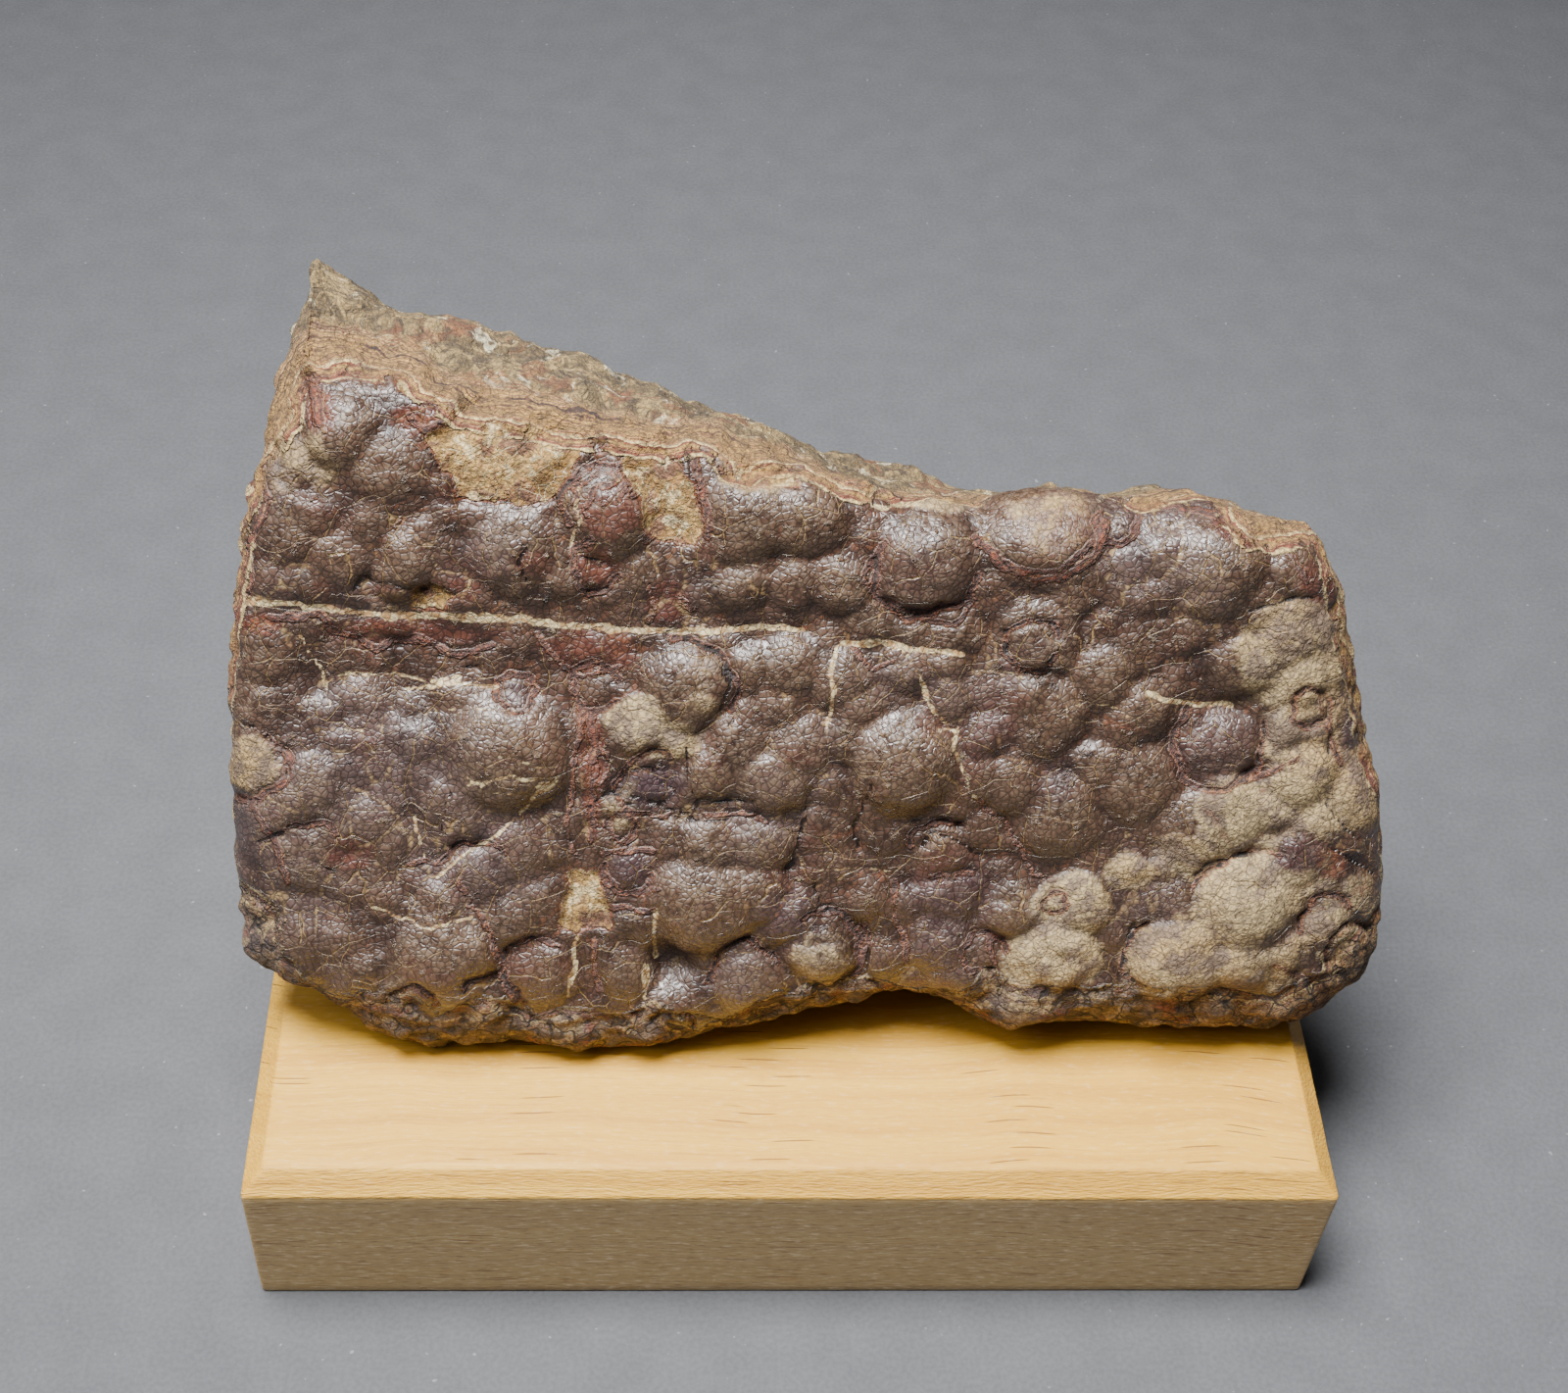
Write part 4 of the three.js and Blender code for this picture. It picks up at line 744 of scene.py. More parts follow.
        # Broken shell edges: thin rust and cream layers in a dull red stain.
        edge = mix.sums("MULTIPLY_ADD", fray, 0.7, on["red"])
        near = times(step(edge, -0.1, 0.3, (1, 0)), step(on["islands"], 0.36, 0.5, (0.35, 1)))
        shells = add(mix.tree, Kind.NOISE, {"W": edge, "Scale": 5.0, "Detail": 1},
                     noise_dimensions="1D")
        for tone, share in ((self.dull_red, 0.8), (self.rust, step(shells, 0.52, 0.6)),
                            (self.tan, step(shells, 0.62, 0.7, (0, 0.7))),
                            (self.deep_brown, step(shells, 0.3, 0.4, (0.9, 0)))):
            colour = lay(colour, tone, times(near, share))
        core = times(step(edge, -0.34, -0.16, (1, 0)), step(on["islands"], 0.38, 0.5, (0.3, 1)))
        colour = lay(colour, lay(*self.shell, step(fine, 0.5, 0.64)), times(core, 0.85))
        cut = step(mix.sums("MULTIPLY_ADD", fray, 0.22, on["crack"]), -0.04, 0.08, (1, 0))
        on |= {"near": near, "shells": shells, "cut": cut}
        return lay(colour, self.crack_dark, times(cut, 0.95))

    def _bare(self, mix: Recipe, on: dict[str, Socket], colour: Socket) -> Socket:
        """Ochre and cream layers where the skin is gone, and the cream veins."""
        lay, step, times, place, fine = mix.lay, mix.step, mix.times, on["place"], on["fine"]
        gap = mix.sums("MULTIPLY_ADD", on["fray"], 1.1, on["broken"])
        bare = mix.coats(self.bare[0], (self.bare[1], on["patch"], 0.42, 0.6, 0.9),
                         (self.bare[2], fine, 0.48, 0.64, 0.7),
                         (self.bare[3], mix.grain(place, 3.6, 5, 0.6), 0.52, 0.58, 0.85),
                         (self.bare[4], mix.grain(place, 3.1, 5, 0.65), 0.55, 0.6, 0.8))
        bare = lay(bare, self.bare[5], times(on["small_web"], 0.6))
        on["gone"] = step(gap, -0.1, 0.08, (1, 0))
        rim_line = times(step(gap, 0.0, 0.08), step(gap, 0.14, 0.36, (1, 0)))
        colour = lay(colour, self.rust, times(rim_line, 0.4))
        colour = lay(colour, bare, on["gone"])
        vein = mix.sums("MULTIPLY_ADD", on["fray"], 0.5, on["vein"])
        vein = step(vein, -0.04, 0.08, (1, 0))
        return lay(colour, lay(*self.vein, step(fine, 0.46, 0.6)), times(vein, 0.9))

    def _walls(self, mix: Recipe, on: dict[str, Socket], colour: Socket) -> Socket:
        """The broken edges and sides: layers behind the skin, then grey-green rock."""
        lay, step, times, grain = mix.lay, mix.step, mix.times, mix.grain
        place, stone_at, low = on["place"], on["stone_at"], on["low"]
        deep = mix.sums("MULTIPLY_ADD", grain(place, 4.5, 5, 0.62), 2.4, on["depth"])
        deep = mix.sums("SUBTRACT", deep, 1.2)
        layers = add(mix.tree, Kind.NOISE,
                     {"W": deep, "Scale": 0.6, "Detail": 4, "Roughness": 0.62},
                     noise_dimensions="1D")
        crust = mix.coats(self.crust[0], (self.crust[1], layers, 0.44, 0.48, 1),
                          (self.crust[2], layers, 0.51, 0.54, 1),
                          (self.crust[3], layers, 0.57, 0.6, 1),
                          (self.crust[4], layers, 0.63, 0.67, 1))
        crust = lay(crust, self.crust[5], step(layers, 0.37, 0.41, (0.95, 0)))
        crust = mix.coats(crust, (self.crust[6], on["patch"], 0.5, 0.6, 0.5),
                          (self.crust[7], on["fine"], 0.54, 0.66, 0.6))
        body = mix.coats(self.rock[0], (self.rock[1], grain(stone_at, 5, 5, 0.62), 0.46, 0.55, 1),
                         (self.rock[2], grain(stone_at, 2.4, 5, 0.7), 0.53, 0.6, 0.85),
                         (self.rock[3], grain(stone_at, 11, 5, 0.7), 0.53, 0.59, 0.75),
                         (self.rock[4], grain(stone_at, 3.0, 5, 0.65), 0.58, 0.64, 0.85))
        plates = mix.coats(self.plates[0], (self.plates[1], grain(place, 4, 4), 0.42, 0.58, 1),
                           (self.plates[2], on["patch"], 0.54, 0.64, 0.8),
                           (self.plates[3], grain(place, 3, 4), 0.54, 0.62, 0.8))
        splits = step(self._cells(mix, stone_at, 0.22), 0.015, 0.05, (1, 0))
        splits = times(splits, step(low, 48, 60, (1, 0.25)))
        held = times(step(low, 46, 60, (0.95, 0)), step(layers, 0.5, 0.62, (1, 0.5)))
        # The dark plates fade towards the right end, painting that wall lighter where the light falls
        # on it.
        crust = lay(crust, plates, times(held, step(on["across"], 48, 66, (1, 0.45))))
        crust = lay(crust, self.crack_dark, times(splits, 0.85))
        side = lay(crust, body, step(deep, 6.0, 10.0))
        on_side = step(mix.sums("MULTIPLY_ADD", on["fray"], 0.9, on["depth"]), 0.1, 0.4)
        kept_skin = times(step(on["islands"], 0.53, 0.57), step(on["depth"], 1.2, 3.0, (1, 0)))
        on_side = times(on_side, mix.sums("SUBTRACT", 1.0, kept_skin))
        on |= {"layers": layers, "splits": splits, "on_side": on_side}
        return lay(colour, side, on_side)

    def build(self) -> bpy.types.Material:
        """Mixes the material.

        Returns:
            The finished material.
        """
        mix = Recipe("weathered schalenblende")
        step, times = mix.step, mix.times
        on = self._readings(mix)
        place, fine = on["place"], on["fine"]
        colour = self._skin(mix, on)
        for coat in (self._lines, self._bare, self._walls):
            colour = coat(mix, on, colour)

        # Grain, wrinkle lines that are partly painted shade in their grooves, painted shade near the
        # foot and crumbs on the broken rock darken it.
        crackle = step(self._cells(mix, on["bent"], 1 / self.wrinkle_mm), 0.0, 0.2)
        rocky = mix.sums("MAXIMUM", on["on_side"], on["gone"])
        shade = times(step(on["speck"], 0.3, 0.7, (0.92, 1.2)), step(crackle, 0.0, 1.0, (0.58, 1.05)))
        # Painted shade: the stone darkens towards its foot, where it sits on the wood.
        shade = times(shade, step(on["low"], 29, 42, (0.74, 1)))
        crumbs = step(mix.grain(on["stone_at"], 1.7, 5, 0.75), 0.36, 0.62, (0.6, 1.32))
        crumbs = mix.sums("SUBTRACT", crumbs, 1.0)
        shade = times(shade, mix.sums("MULTIPLY_ADD", crumbs, rocky, 1.0))
        colour = add(mix.tree, Kind.VECTOR, {0: colour, 3: shade}, operation="SCALE")

        dull = mix.sums("MAXIMUM", rocky, times(on["worn"], 0.7))
        dull = mix.sums("MAXIMUM", dull, times(on["near"], 0.8))
        rough = mix.sums("MULTIPLY_ADD", dull, self.rock_roughness - self.skin_roughness,
                         self.skin_roughness)
        rough = mix.sums("ADD", rough, step(fine, 0.3, 0.7, (-0.06, 0.12)))

        # Leathery wrinkles, hair cracks and grain, in millimetres of height.
        wrinkle = add(mix.tree, Kind.CELLS, {"Vector": on["bent"], "Scale": 1 / self.wrinkle_mm},
                      feature="SMOOTH_F1")
        dents = mix.sums("MAXIMUM", on["web"], times(on["small_web"], 0.6))
        dents = mix.sums("MAXIMUM", dents, on["cut"])
        coarse = mix.sums("MULTIPLY_ADD", dull, 1.0, 0.08)
        heights = [
            (times(wrinkle, -1.0), 0.05),
            (crackle, 0.05),
            (mix.grain(place, 2.6, 3, 0.5), 0.16),
            (times(mix.grain(place, 0.9, 4, 0.7), coarse), 0.7),
            (times(on["layers"], on["on_side"]), 0.8),
            (times(on["splits"], on["on_side"]), -0.35),
            (times(on["shells"], on["near"]), 0.5),
            (times(dents, -1.0), 0.16),
        ]
        mix.finish({"Base Color": colour, "Roughness": rough, "IOR": self.ior,
                    "Specular IOR Level": 0.5}, heights)
        return mix.material


@dataclass(frozen=True)
class WoodFinish:
    """Planed pale hardwood, unvarnished, with short brown pores along the grain."""

    # Warm yellow streaks with darker late wood and honey-coloured drifts.
    light: str = "#e2ad36"
    mid: str = "#d29a2b"
    late: str = "#bb8228"
    honey: str = "#cf9a3a"
    # The upright sides are greyer, a duller tone of their own with painted shade in it, with hairy torn
    # fibres that catch the light.
    side: str = "#bba581"
    torn_brown: str = "#bf8f45"
    torn_dark: str = "#7d5c34"
    torn_light: str = "#f6dfb2"
    pore: str = "#8a5526"
    # A dark brown painted as the stone's shadow on the wood.
    dust_and_shadow: str = "#7c6244"
    pore_gap_mm: float = 0.95
    ior: float = 1.5

    def _pores(self, mix: Recipe, place: Socket, x: Socket, lean: Socket) -> tuple[Socket, Socket]:
        """Thin dashes 4 to 8 mm long, cut open by the plane, and the cells they lie in."""
        across = mix.times(x, 0.029)
        rows = mix.sums("DIVIDE", lean, self.pore_gap_mm)
        field_at = add(mix.tree, Kind.JOIN, {0: across, 1: rows, 2: 0.0})
        distance, odds = (
            add(mix.tree, Kind.CELLS, {"Vector": field_at, "Scale": 1.0}, out=out,
                voronoi_dimensions="2D")
            for out in ("Distance", "Color")
        )
        ends = mix.step(mix.sums("ABSOLUTE", x), 30, 72, (-0.1, 0.16))
        clump = mix.sums("MULTIPLY_ADD", mix.grain(place, 16, 3), 0.4, -0.2)
        odds = add(mix.tree, Kind.SPLIT, {0: odds})
        kept = mix.step(mix.sums("ADD", odds, mix.sums("ADD", ends, clump)), 0.62, 0.66)
        return mix.times(mix.step(distance, 0.06, 0.1, (1, 0)), kept), field_at

    def build(self) -> bpy.types.Material:
        """Mixes the material.

        Returns:
            The finished material.
        """
        mix = Recipe("pale hardwood")
        tree, lay, step, times = mix.tree, mix.lay, mix.step, mix.times
        place = add(tree, Kind.ATTRIBUTE, out="Vector", attribute_name="place")
        worn, upright = (
            add(tree, Kind.ATTRIBUTE, out="Fac", attribute_name=n) for n in ("sawn", "upright")
        )
        x, y, z = (add(tree, Kind.SPLIT, {0: place}, out=axis) for axis in "XYZ")
        drift = mix.grain(place, 45, 2)
        lean = mix.sums("MULTIPLY_ADD", drift, 9.0, mix.sums("MULTIPLY_ADD", z, 0.9, y))
        fibres = add(tree, Kind.JOIN, {0: times(x, 0.022), 1: lean, 2: 0.0})
        streak, fibre = mix.grain(fibres, 3.2, 4), mix.grain(fibres, 0.5, 3)
        colour = mix.coats(self.light, (self.mid, streak, 0.36, 0.64, 1),
                           (self.late, fibre, 0.5, 0.75, 0.45),
                           (self.honey, drift, 0.5, 0.66, 0.3))
        # Painted shade: the upright sides get a greyer, duller tone.
        colour = lay(colour, self.side, times(upright, 0.7))
        pores, field_at = self._pores(mix, place, x, lean)
        faint = add(tree, Kind.CELLS, {"Vector": field_at, "Scale": 2.2}, voronoi_dimensions="2D")
        faint = times(step(faint, 0.06, 0.14, (0.4, 0)),
                      mix.sums("MULTIPLY_ADD", upright, 0.9, 0.6))
        colour = lay(colour, self.pore, times(pores, 0.8))
        colour = lay(colour, self.late, faint)
        # Saw-torn fibres on the chamfer and the ends are darker and hairy.
        torn_at = add(tree, Kind.JOIN, {0: times(x, 0.22), 1: lean, 2: z})
        torn = mix.grain(torn_at, 0.42, 4)
        colour = lay(colour, self.torn_brown, times(worn, step(torn, 0.48, 0.66, (0, 0.4))))
        dense = mix.sums("MULTIPLY_ADD", upright, 0.8, 0.3)
        colour = lay(colour, self.torn_dark, times(step(torn, 0.54, 0.66, (0, 0.4)), dense))
        colour = lay(colour, self.torn_light, times(step(torn, 0.34, 0.44, (0.5, 0)), dense))
        # Painted shadow: a dark brown laid on the wood top where the stone overhangs.
        stone_shadow = times(step(y, 22, 38), step(y, 74, 86, (1, 0)))
        stone_shadow = times(stone_shadow, step(mix.grain(place, 12, 4), 0.2, 0.6, (0.6, 1)))
        stone_shadow = times(stone_shadow, step(z, 27, 28.4))
        colour = lay(colour, self.dust_and_shadow, times(stone_shadow, 0.55))
        rough = step(fibre, 0.3, 0.7, (0.48, 0.62))
        heights = [
            (fibre, 0.04),
            (times(pores, -1.0), 0.1),
            (times(torn, mix.sums("MULTIPLY_ADD", worn, 1.0, 0.12)), 0.22),
        ]
        mix.finish({"Base Color": colour, "Roughness": rough, "IOR": self.ior}, heights)
        return mix.material


@dataclass(frozen=True)
class BackdropFinish:
    """A matt pale grey sheet with faint flecks and a few light specks of dust."""

    grey: str = "#5c5d60"
    dust_and_shadow: str = "#a3a3a6"
    roughness: float = 0.9

    def build(self) -> bpy.types.Material:
        """Mixes the material.

        Returns:
            The finished material.
        """
        mix = Recipe("grey backdrop")
        place = add(mix.tree, Kind.PLACE, out="Object")
        place = add(mix.tree, Kind.VECTOR, {0: place, 3: 1 / MM}, operation="SCALE")
        fleck, cloud = mix.grain(place, 0.7, 2), mix.grain(place, 9, 4)
        shade = mix.times(mix.step(fleck, 0.25, 0.75, (0.9, 1.1)),
                          mix.step(cloud, 0.3, 0.7, (0.95, 1.05)))
        grey = add(mix.tree, Kind.VECTOR, {0: linear(self.grey)[:3], 3: shade}, operation="SCALE")
        grey = mix.lay(grey, self.dust_and_shadow, mix.step(mix.grain(place, 1.3, 1), 0.75, 0.8, (0, 0.4)))
        mix.finish({"Base Color": grey, "Roughness": self.roughness}, [(fleck, 0.08)])
        return mix.material


# Pieces.


def make_object(name: str, points: Array, faces: Sequence[Sequence[int]]) -> bpy.types.Object:
    """Adds a mesh object.

    Args:
        name: Name of the object and its mesh.
        points: Its points, in metres.
        faces: The points of each face, by number.

    Returns:
        The object, linked to the scene.
    """
    mesh = bpy.data.meshes.new(name)
    mesh.from_pydata(points.tolist(), [], faces)
    mesh.update()
    made = bpy.data.objects.new(name, mesh)
    bpy.context.collection.objects.link(made)
    return made


def store(mesh: bpy.types.Mesh, name: str, values: Array) -> None:
    """Keeps something for each point of a mesh, where a material can read it.

    Args:
        mesh: The mesh.
        name: Name of the attribute.
        values: A number, or three, for each point.
    """
    vector = values.ndim == 2
    layer = mesh.attributes.new(name, "FLOAT_VECTOR" if vector else "FLOAT", "POINT")
    layer.data.foreach_set("vector" if vector else "value", values.astype(np.float32).ravel())


def rim_places(n: int, m: int) -> tuple[Array, Array]:
    """Grid places round the rim of a grid of n by m cells, anticlockwise."""
    i = [*range(n), *[n] * m, *range(n, 0, -1), *[0] * m]
    j = [*[0] * n, *range(m), *[m] * n, *range(m, 0, -1)]
    return np.array(i), np.array(j)


@dataclass
class Specimen:
    """The slab of ore: a lumpy face, broken sides and a broken back, in one closed skin."""

    shift_mm: tuple[float, float, float]
    across: int = 290
    up: int = 184
    deep: int = 27
    piece: bpy.types.Object | None = None
    _base: Array = field(default_factory=lambda: np.zeros(0))
    _normal: Array = field(default_factory=lambda: np.zeros(0))

    def _plain_face(self) -> Array:
        """The face without its lumps, as a grid of (u, v, h)."""
        step_s, step_t = np.meshgrid(
            np.arange(self.across + 1) / self.across, np.arange(self.up + 1) / self.up, indexing="ij"
        )
        s = spread(step_s, ROLL["left"] / FACE_WIDTH, ROLL["right"] / FACE_WIDTH)
        t = spread(step_t, ROLL["bottom"] / FACE_HEIGHT, ROLL["top"] / FACE_HEIGHT)
        uv = stretched((BOTTOM_RIM, TOP_RIM, LEFT_RIM, RIGHT_RIM), s, t)
        turns = (
            (s * FACE_WIDTH, "left", along(LEFT_RIM, t)[..., 2]),
            ((1 - s) * FACE_WIDTH, "right", along(RIGHT_RIM, t)[..., 2]),
            (t * FACE_HEIGHT, "bottom", along(BOTTOM_RIM, s)[..., 2]),
            ((1 - t) * FACE_HEIGHT, "top", along(TOP_RIM, s)[..., 2]),
        )
        flat, weight, drop = 1.0, 1e-9, 0.0
        self._rim_share, self._swell = np.ones_like(s), np.zeros_like(s)
        for reach, side, fall in turns:
            x, least = reach / ROLL[side], RIM_RISE[side]
            self._swell = np.maximum(self._swell, RIM_SWELL[side] * (1 - ease(x)))
            q = 1 - np.sqrt(1 - (1 - np.clip(x, 0, 1)) ** 2)
            flat = flat * (1 - q)
            weight = weight + q
            drop = drop + q * fall
            self._rim_share = np.minimum(self._rim_share, least + (1 - least) * ease(x))
        h = drop / weight * (1 - flat)
        u, v = uv[..., 0], uv[..., 1]
        for cu, cv, ru, rv, rise in SWELLS:
            h = h + rise * flat * np.exp(-(((u - cu) / ru) ** 2) - ((v - cv) / rv) ** 2)
        return np.stack([u, v, h], -1)

    def _nearest(self, u: float, v: float) -> tuple[int, int]:
        """Grid place of the face nearest to a place across and up."""
        far = np.hypot(self._base[..., 0] - u, self._base[..., 1] - v) - self._base[..., 2] * 0.05
        return np.unravel_index(np.argmin(far), far.shape)

    def _dome(self, u: float, v: float, radius: float, rise: float) -> tuple[Array, float, float]:
        """A dome that stands on the face: its foot, the radius of its footprint and its height."""
        h = self._base[self._nearest(u, v)][2]
        true_u = u - h * (u - EYE_U) / EYE_REACH
        true_v = v + h * (EYE_DROP - DROP_SHRINK * v)
        at = self._nearest(true_u, true_v)
        return np.array([true_u, true_v, self._base[at][2]]), radius, rise

    def _height(self, u: float, v: float, radius: float) -> float:
        """How far a lump stands out: the broad ones fully, the small ones less."""
        share = 0.85 + 0.4 * min(1.0, radius / 6) - 0.2 * (radius < 3.2)
        calm = 0.7 if u < -30 and v < 66 else 0.82
        return radius * LUMP_RISE * share * calm * (0.85 + 0.3 * float(chance(u, v)))

    def _domes(self) -> list[tuple[Array, float, float]]:
        """All lumps, those that were read and the small ones that fill the gaps."""
        made = [self._dome(u, v, r * 1.12, self._height(u, v, r)) for u, v, r in LUMPS]
        for i in range(FILLER_GRID[0]):
            for j in range(FILLER_GRID[1]):
                u = FILLER_START[0] + (i + float(chance(i, j))) * FILLER["spacing"]
                v = FILLER_START[1] + (j + float(chance(j, i, 5))) * FILLER["spacing"]
                r = FILLER["least"] + (FILLER["most"] - FILLER["least"]) * float(chance(i, j, 9))
                free = all(math.hypot(u - a, v - b) > c * FILLER["clear"] for a, b, c in LUMPS)
                near = self._base[self._nearest(u, v)]
                if free and math.hypot(near[0] - u, near[1] - v) < 4:
                    made.append(self._dome(u, v, r, r * FILLER["rise"]))
        return made

    def _lumps(self) -> tuple[Array, Array]:
        """Height of the lumps over the face, and how far each place is above its seam."""
        first = np.zeros(self._base.shape[:2])
        second = np.full_like(first, -FAR)
        # Wavering places, so that no footprint is a true circle.
        u, v = self._base[..., 0], self._base[..., 1]
        waver = [
            0.8 * noise(u / 5.5, v / 5.5, 31.0 + k) + 0.2 * noise(u / 2.3, v / 2.3, 41.0 + k)
            for k in (0, 3)
        ]
        places = self._base + np.stack([*waver, np.zeros_like(u)], -1)
        for foot, radius, rise in self._domes():
            near = np.argwhere(np.abs(self._base[..., 0] - foot[0]).min(axis=1) < radius + 4)
            lo, hi = int(near.min()), int(near.max()) + 1
            towards = foot - places[lo:hi]
            depth = (towards * self._normal[lo:hi]).sum(-1)
            share = np.sqrt(np.maximum((towards**2).sum(-1) - depth**2, 0)) / radius
            height = np.where(share < 1.5, rise * (1 - share**2.3), -FAR)
            a, b = first[lo:hi], second[lo:hi]
            second[lo:hi] = np.maximum(b, np.minimum(a, height))
            first[lo:hi] = np.maximum(a, height)
        gap = np.maximum(first - second, 0)
        soft = 0.55 * np.exp(-gap / 0.55) * (second > -1)
        return first + 0.15 * soft, gap

    def _settle(self, p: Array) -> Array:
        """Keeps points just above the wood."""
        p[..., 2] = np.maximum(p[..., 2], BLOCK["height"] + REST_GAP)
        return p

    def _rough(self, p: Array) -> Array:
        """Height of broken rock over its mean, from hollows about 13 mm apart down to grains."""
        x, y, z = p[..., 0], p[..., 1], p[..., 2]
        coarse = 1.5 * noise(x / 13, y / 13, z / 9) + 0.9 * noise(x / 5, y / 5, z / 4)
        coarse += 0.45 * noise(x / 2.3, y / 2.3, z / 2)
        broken = np.abs(noise(x / 3.1, y / 2.2, z / 2.6)) - 0.4
        return coarse + 0.5 * broken + 0.22 * noise(x / 1.1, y / 1.1, z / 1.1)

    def _back(self, s: Array, t: Array) -> Array:
        """The broken back, with chipped edges, at shares across and up."""
        top = from_face(np.array(BACK_TOP, float))
        foot = np.array(BACK_FOOT, float)
        p = stretched((foot, top, foot[[0]].repeat(1, 0).tolist() + [top[0].tolist()],
                       [foot[-1].tolist(), top[-1].tolist()]), s, t)
        swell = BACK_BULGE * np.sin(np.pi * s) * np.sin(np.pi * t)
        edge = np.minimum(1, 6 * np.minimum(np.minimum(s, 1 - s), np.minimum(t, 1 - t)))
        x, y, z = p.transpose(2, 0, 1) if p.ndim == 3 else p.T
        chips = 1.6 * np.abs(noise(x / 9, y / 9, z / 9)) + 0.6 * np.abs(noise(x / 3, y / 3, z / 3))
        chips = chips * (1 - edge)
        p[..., 0] -= np.sign(s - 0.5) * ease((np.abs(s - 0.5) - 0.34) / 0.16) * chips
        p[..., 2] -= ease((t - 0.84) / 0.16) * chips
        p[..., 1] += swell + edge * self._rough(p) - chips
        return self._settle(p)

    def _evened(self, directions: Array) -> Array:
        """Evens out directions along the closed rim, so that the walls don't fold."""
        for _ in range(60):
            directions = (directions + np.roll(directions, 1, 0) + np.roll(directions, -1, 0)) / 3
        return directions / np.linalg.norm(directions, axis=1, keepdims=True)

    def _marks(self, p: Array) -> dict[str, Array]:
        """Distances and shares that the finish reads, for points (u, v, h) of the face."""
        u = p[..., 0] + p[..., 2] * (p[..., 0] - EYE_U) / EYE_REACH
        v = p[..., 1] - p[..., 2] * (EYE_DROP - DROP_SHRINK * p[..., 1])
        # Torn edges and lines waver by a few tenths of a millimetre.
        u = u + 0.35 * noise(u / 1.7, v / 1.7, 3.0) + 0.15 * noise(u / 0.6, v / 0.6, 7.0)
        v = v + 0.35 * noise(u / 1.7, v / 1.7, 11.0) + 0.15 * noise(u / 0.6, v / 0.6, 17.0)
        marks = {n: np.full(u.shape, FAR) for n in ("broken", "vein", "red", "crack")}
        for name, lines in (("vein", VEINS), ("red", RED_LINES), ("crack", CRACKS)):
            for half, line in lines:
                edge = to_line(u, v, line) - half * LINE_WIDTH[name]
                marks[name] = np.minimum(marks[name], edge)
        for index, (cu, cv, radius, start, end, red, dark) in enumerate(RINGS):
            ring = to_line(u, v, arc_line(cu, cv, radius, start, end, index))
            marks["crack"] = np.minimum(marks["crack"], ring - dark * 0.6)
            marks["red"] = np.minimum(marks["red"], ring - dark * 0.6 - red * 0.5)
        for edge in BROKEN:
            marks["broken"] = np.minimum(marks["broken"], outside(u, v, edge))
        marks["depth"] = np.maximum(outside(u, v, SKIN), 0)
        marks |= {"pale": blobs(u, v, PALE), "reddish": blobs(u, v, REDDISH),
                  "purple": blobs(u, v, PURPLE)}
        self._apparent = (u, v)
        return marks

    def _normals(self) -> Array:
        """Unit normals of the plain face."""
        base = self._base
        du = np.concatenate([base[[1]] - base[[0]], base[2:] - base[:-2], base[[-1]] - base[[-2]]])
        dv = np.concatenate([base[:, [1]] - base[:, [0]], base[:, 2:] - base[:, :-2],
                             base[:, [-1]] - base[:, [-2]]], axis=1)
        normal = np.cross(du, dv)
        return normal / np.linalg.norm(normal, axis=-1, keepdims=True)

    def _relief(self, lumps: Array) -> tuple[Array, dict[str, Array]]:
        """Height of the surface over the plain face in millimetres, and the marks on it."""
        rise = lumps * self._rim_share + self._swell * ease((101 - self._base[..., 1]) / 14)
        marks = self._marks(self._base + self._normal * rise[..., None])
        u, v = self._apparent
        # Where the skin is broken away little is left of the lumps.
        gone = ease(0.5 - marks["broken"] / 0.7)
        scars = 0.45 * gone * (1 + 0.6 * noise(u / 2.5, v / 2.5, 1.0))
        rise = rise * (1 - 0.7 * gone) - scars
        # Past the edge of the skin the layers step down and turn ragged.
        past = marks["depth"] + 0.5 * noise(u / 2.1, v / 2.1, 23.0)
        steps = np.where(past > 0, past / 1.1 - np.floor(past / 1.1), 0)
        rise -= 0.55 * (1 - np.exp(-np.maximum(past, 0) / 0.8)) + 0.14 * (steps**2)
        x, y, z = from_face(self._base).transpose(2, 0, 1)
        ragged = np.abs(noise(x / 4.2, y / 4, z / 3)) - 0.35 + 0.4 * noise(x / 1.7, y / 1.7, z / 1.4)
        rise += 0.9 * ease(past / 1.5) * ragged
        for name, (deep, half) in GROOVES.items():
            rise -= deep * np.exp(-((np.maximum(marks[name], 0) / half) ** 2))
        wrinkle = sum(deep * noise(*np.moveaxis(self._base / size, -1, 0))
                      for deep, size in ((0.07, 1.1), (0.13, 2.7)))
        return rise + wrinkle * self._rim_share, marks

    def _walls(self, rise: Array, rim_depth: Array) -> tuple[list[Array], list[Array]]:
        """Rings over the broken sides from the rim to the back, and how deep each lies."""
        n, m = self.across, self.up
        i, j = rim_places(n, m)
        rim, on_top = self._base[i, j], j == m
        start, end = from_face(rim), self._back(i / n, j / m)
        away = turned(self._evened(self._normal[i, j]))
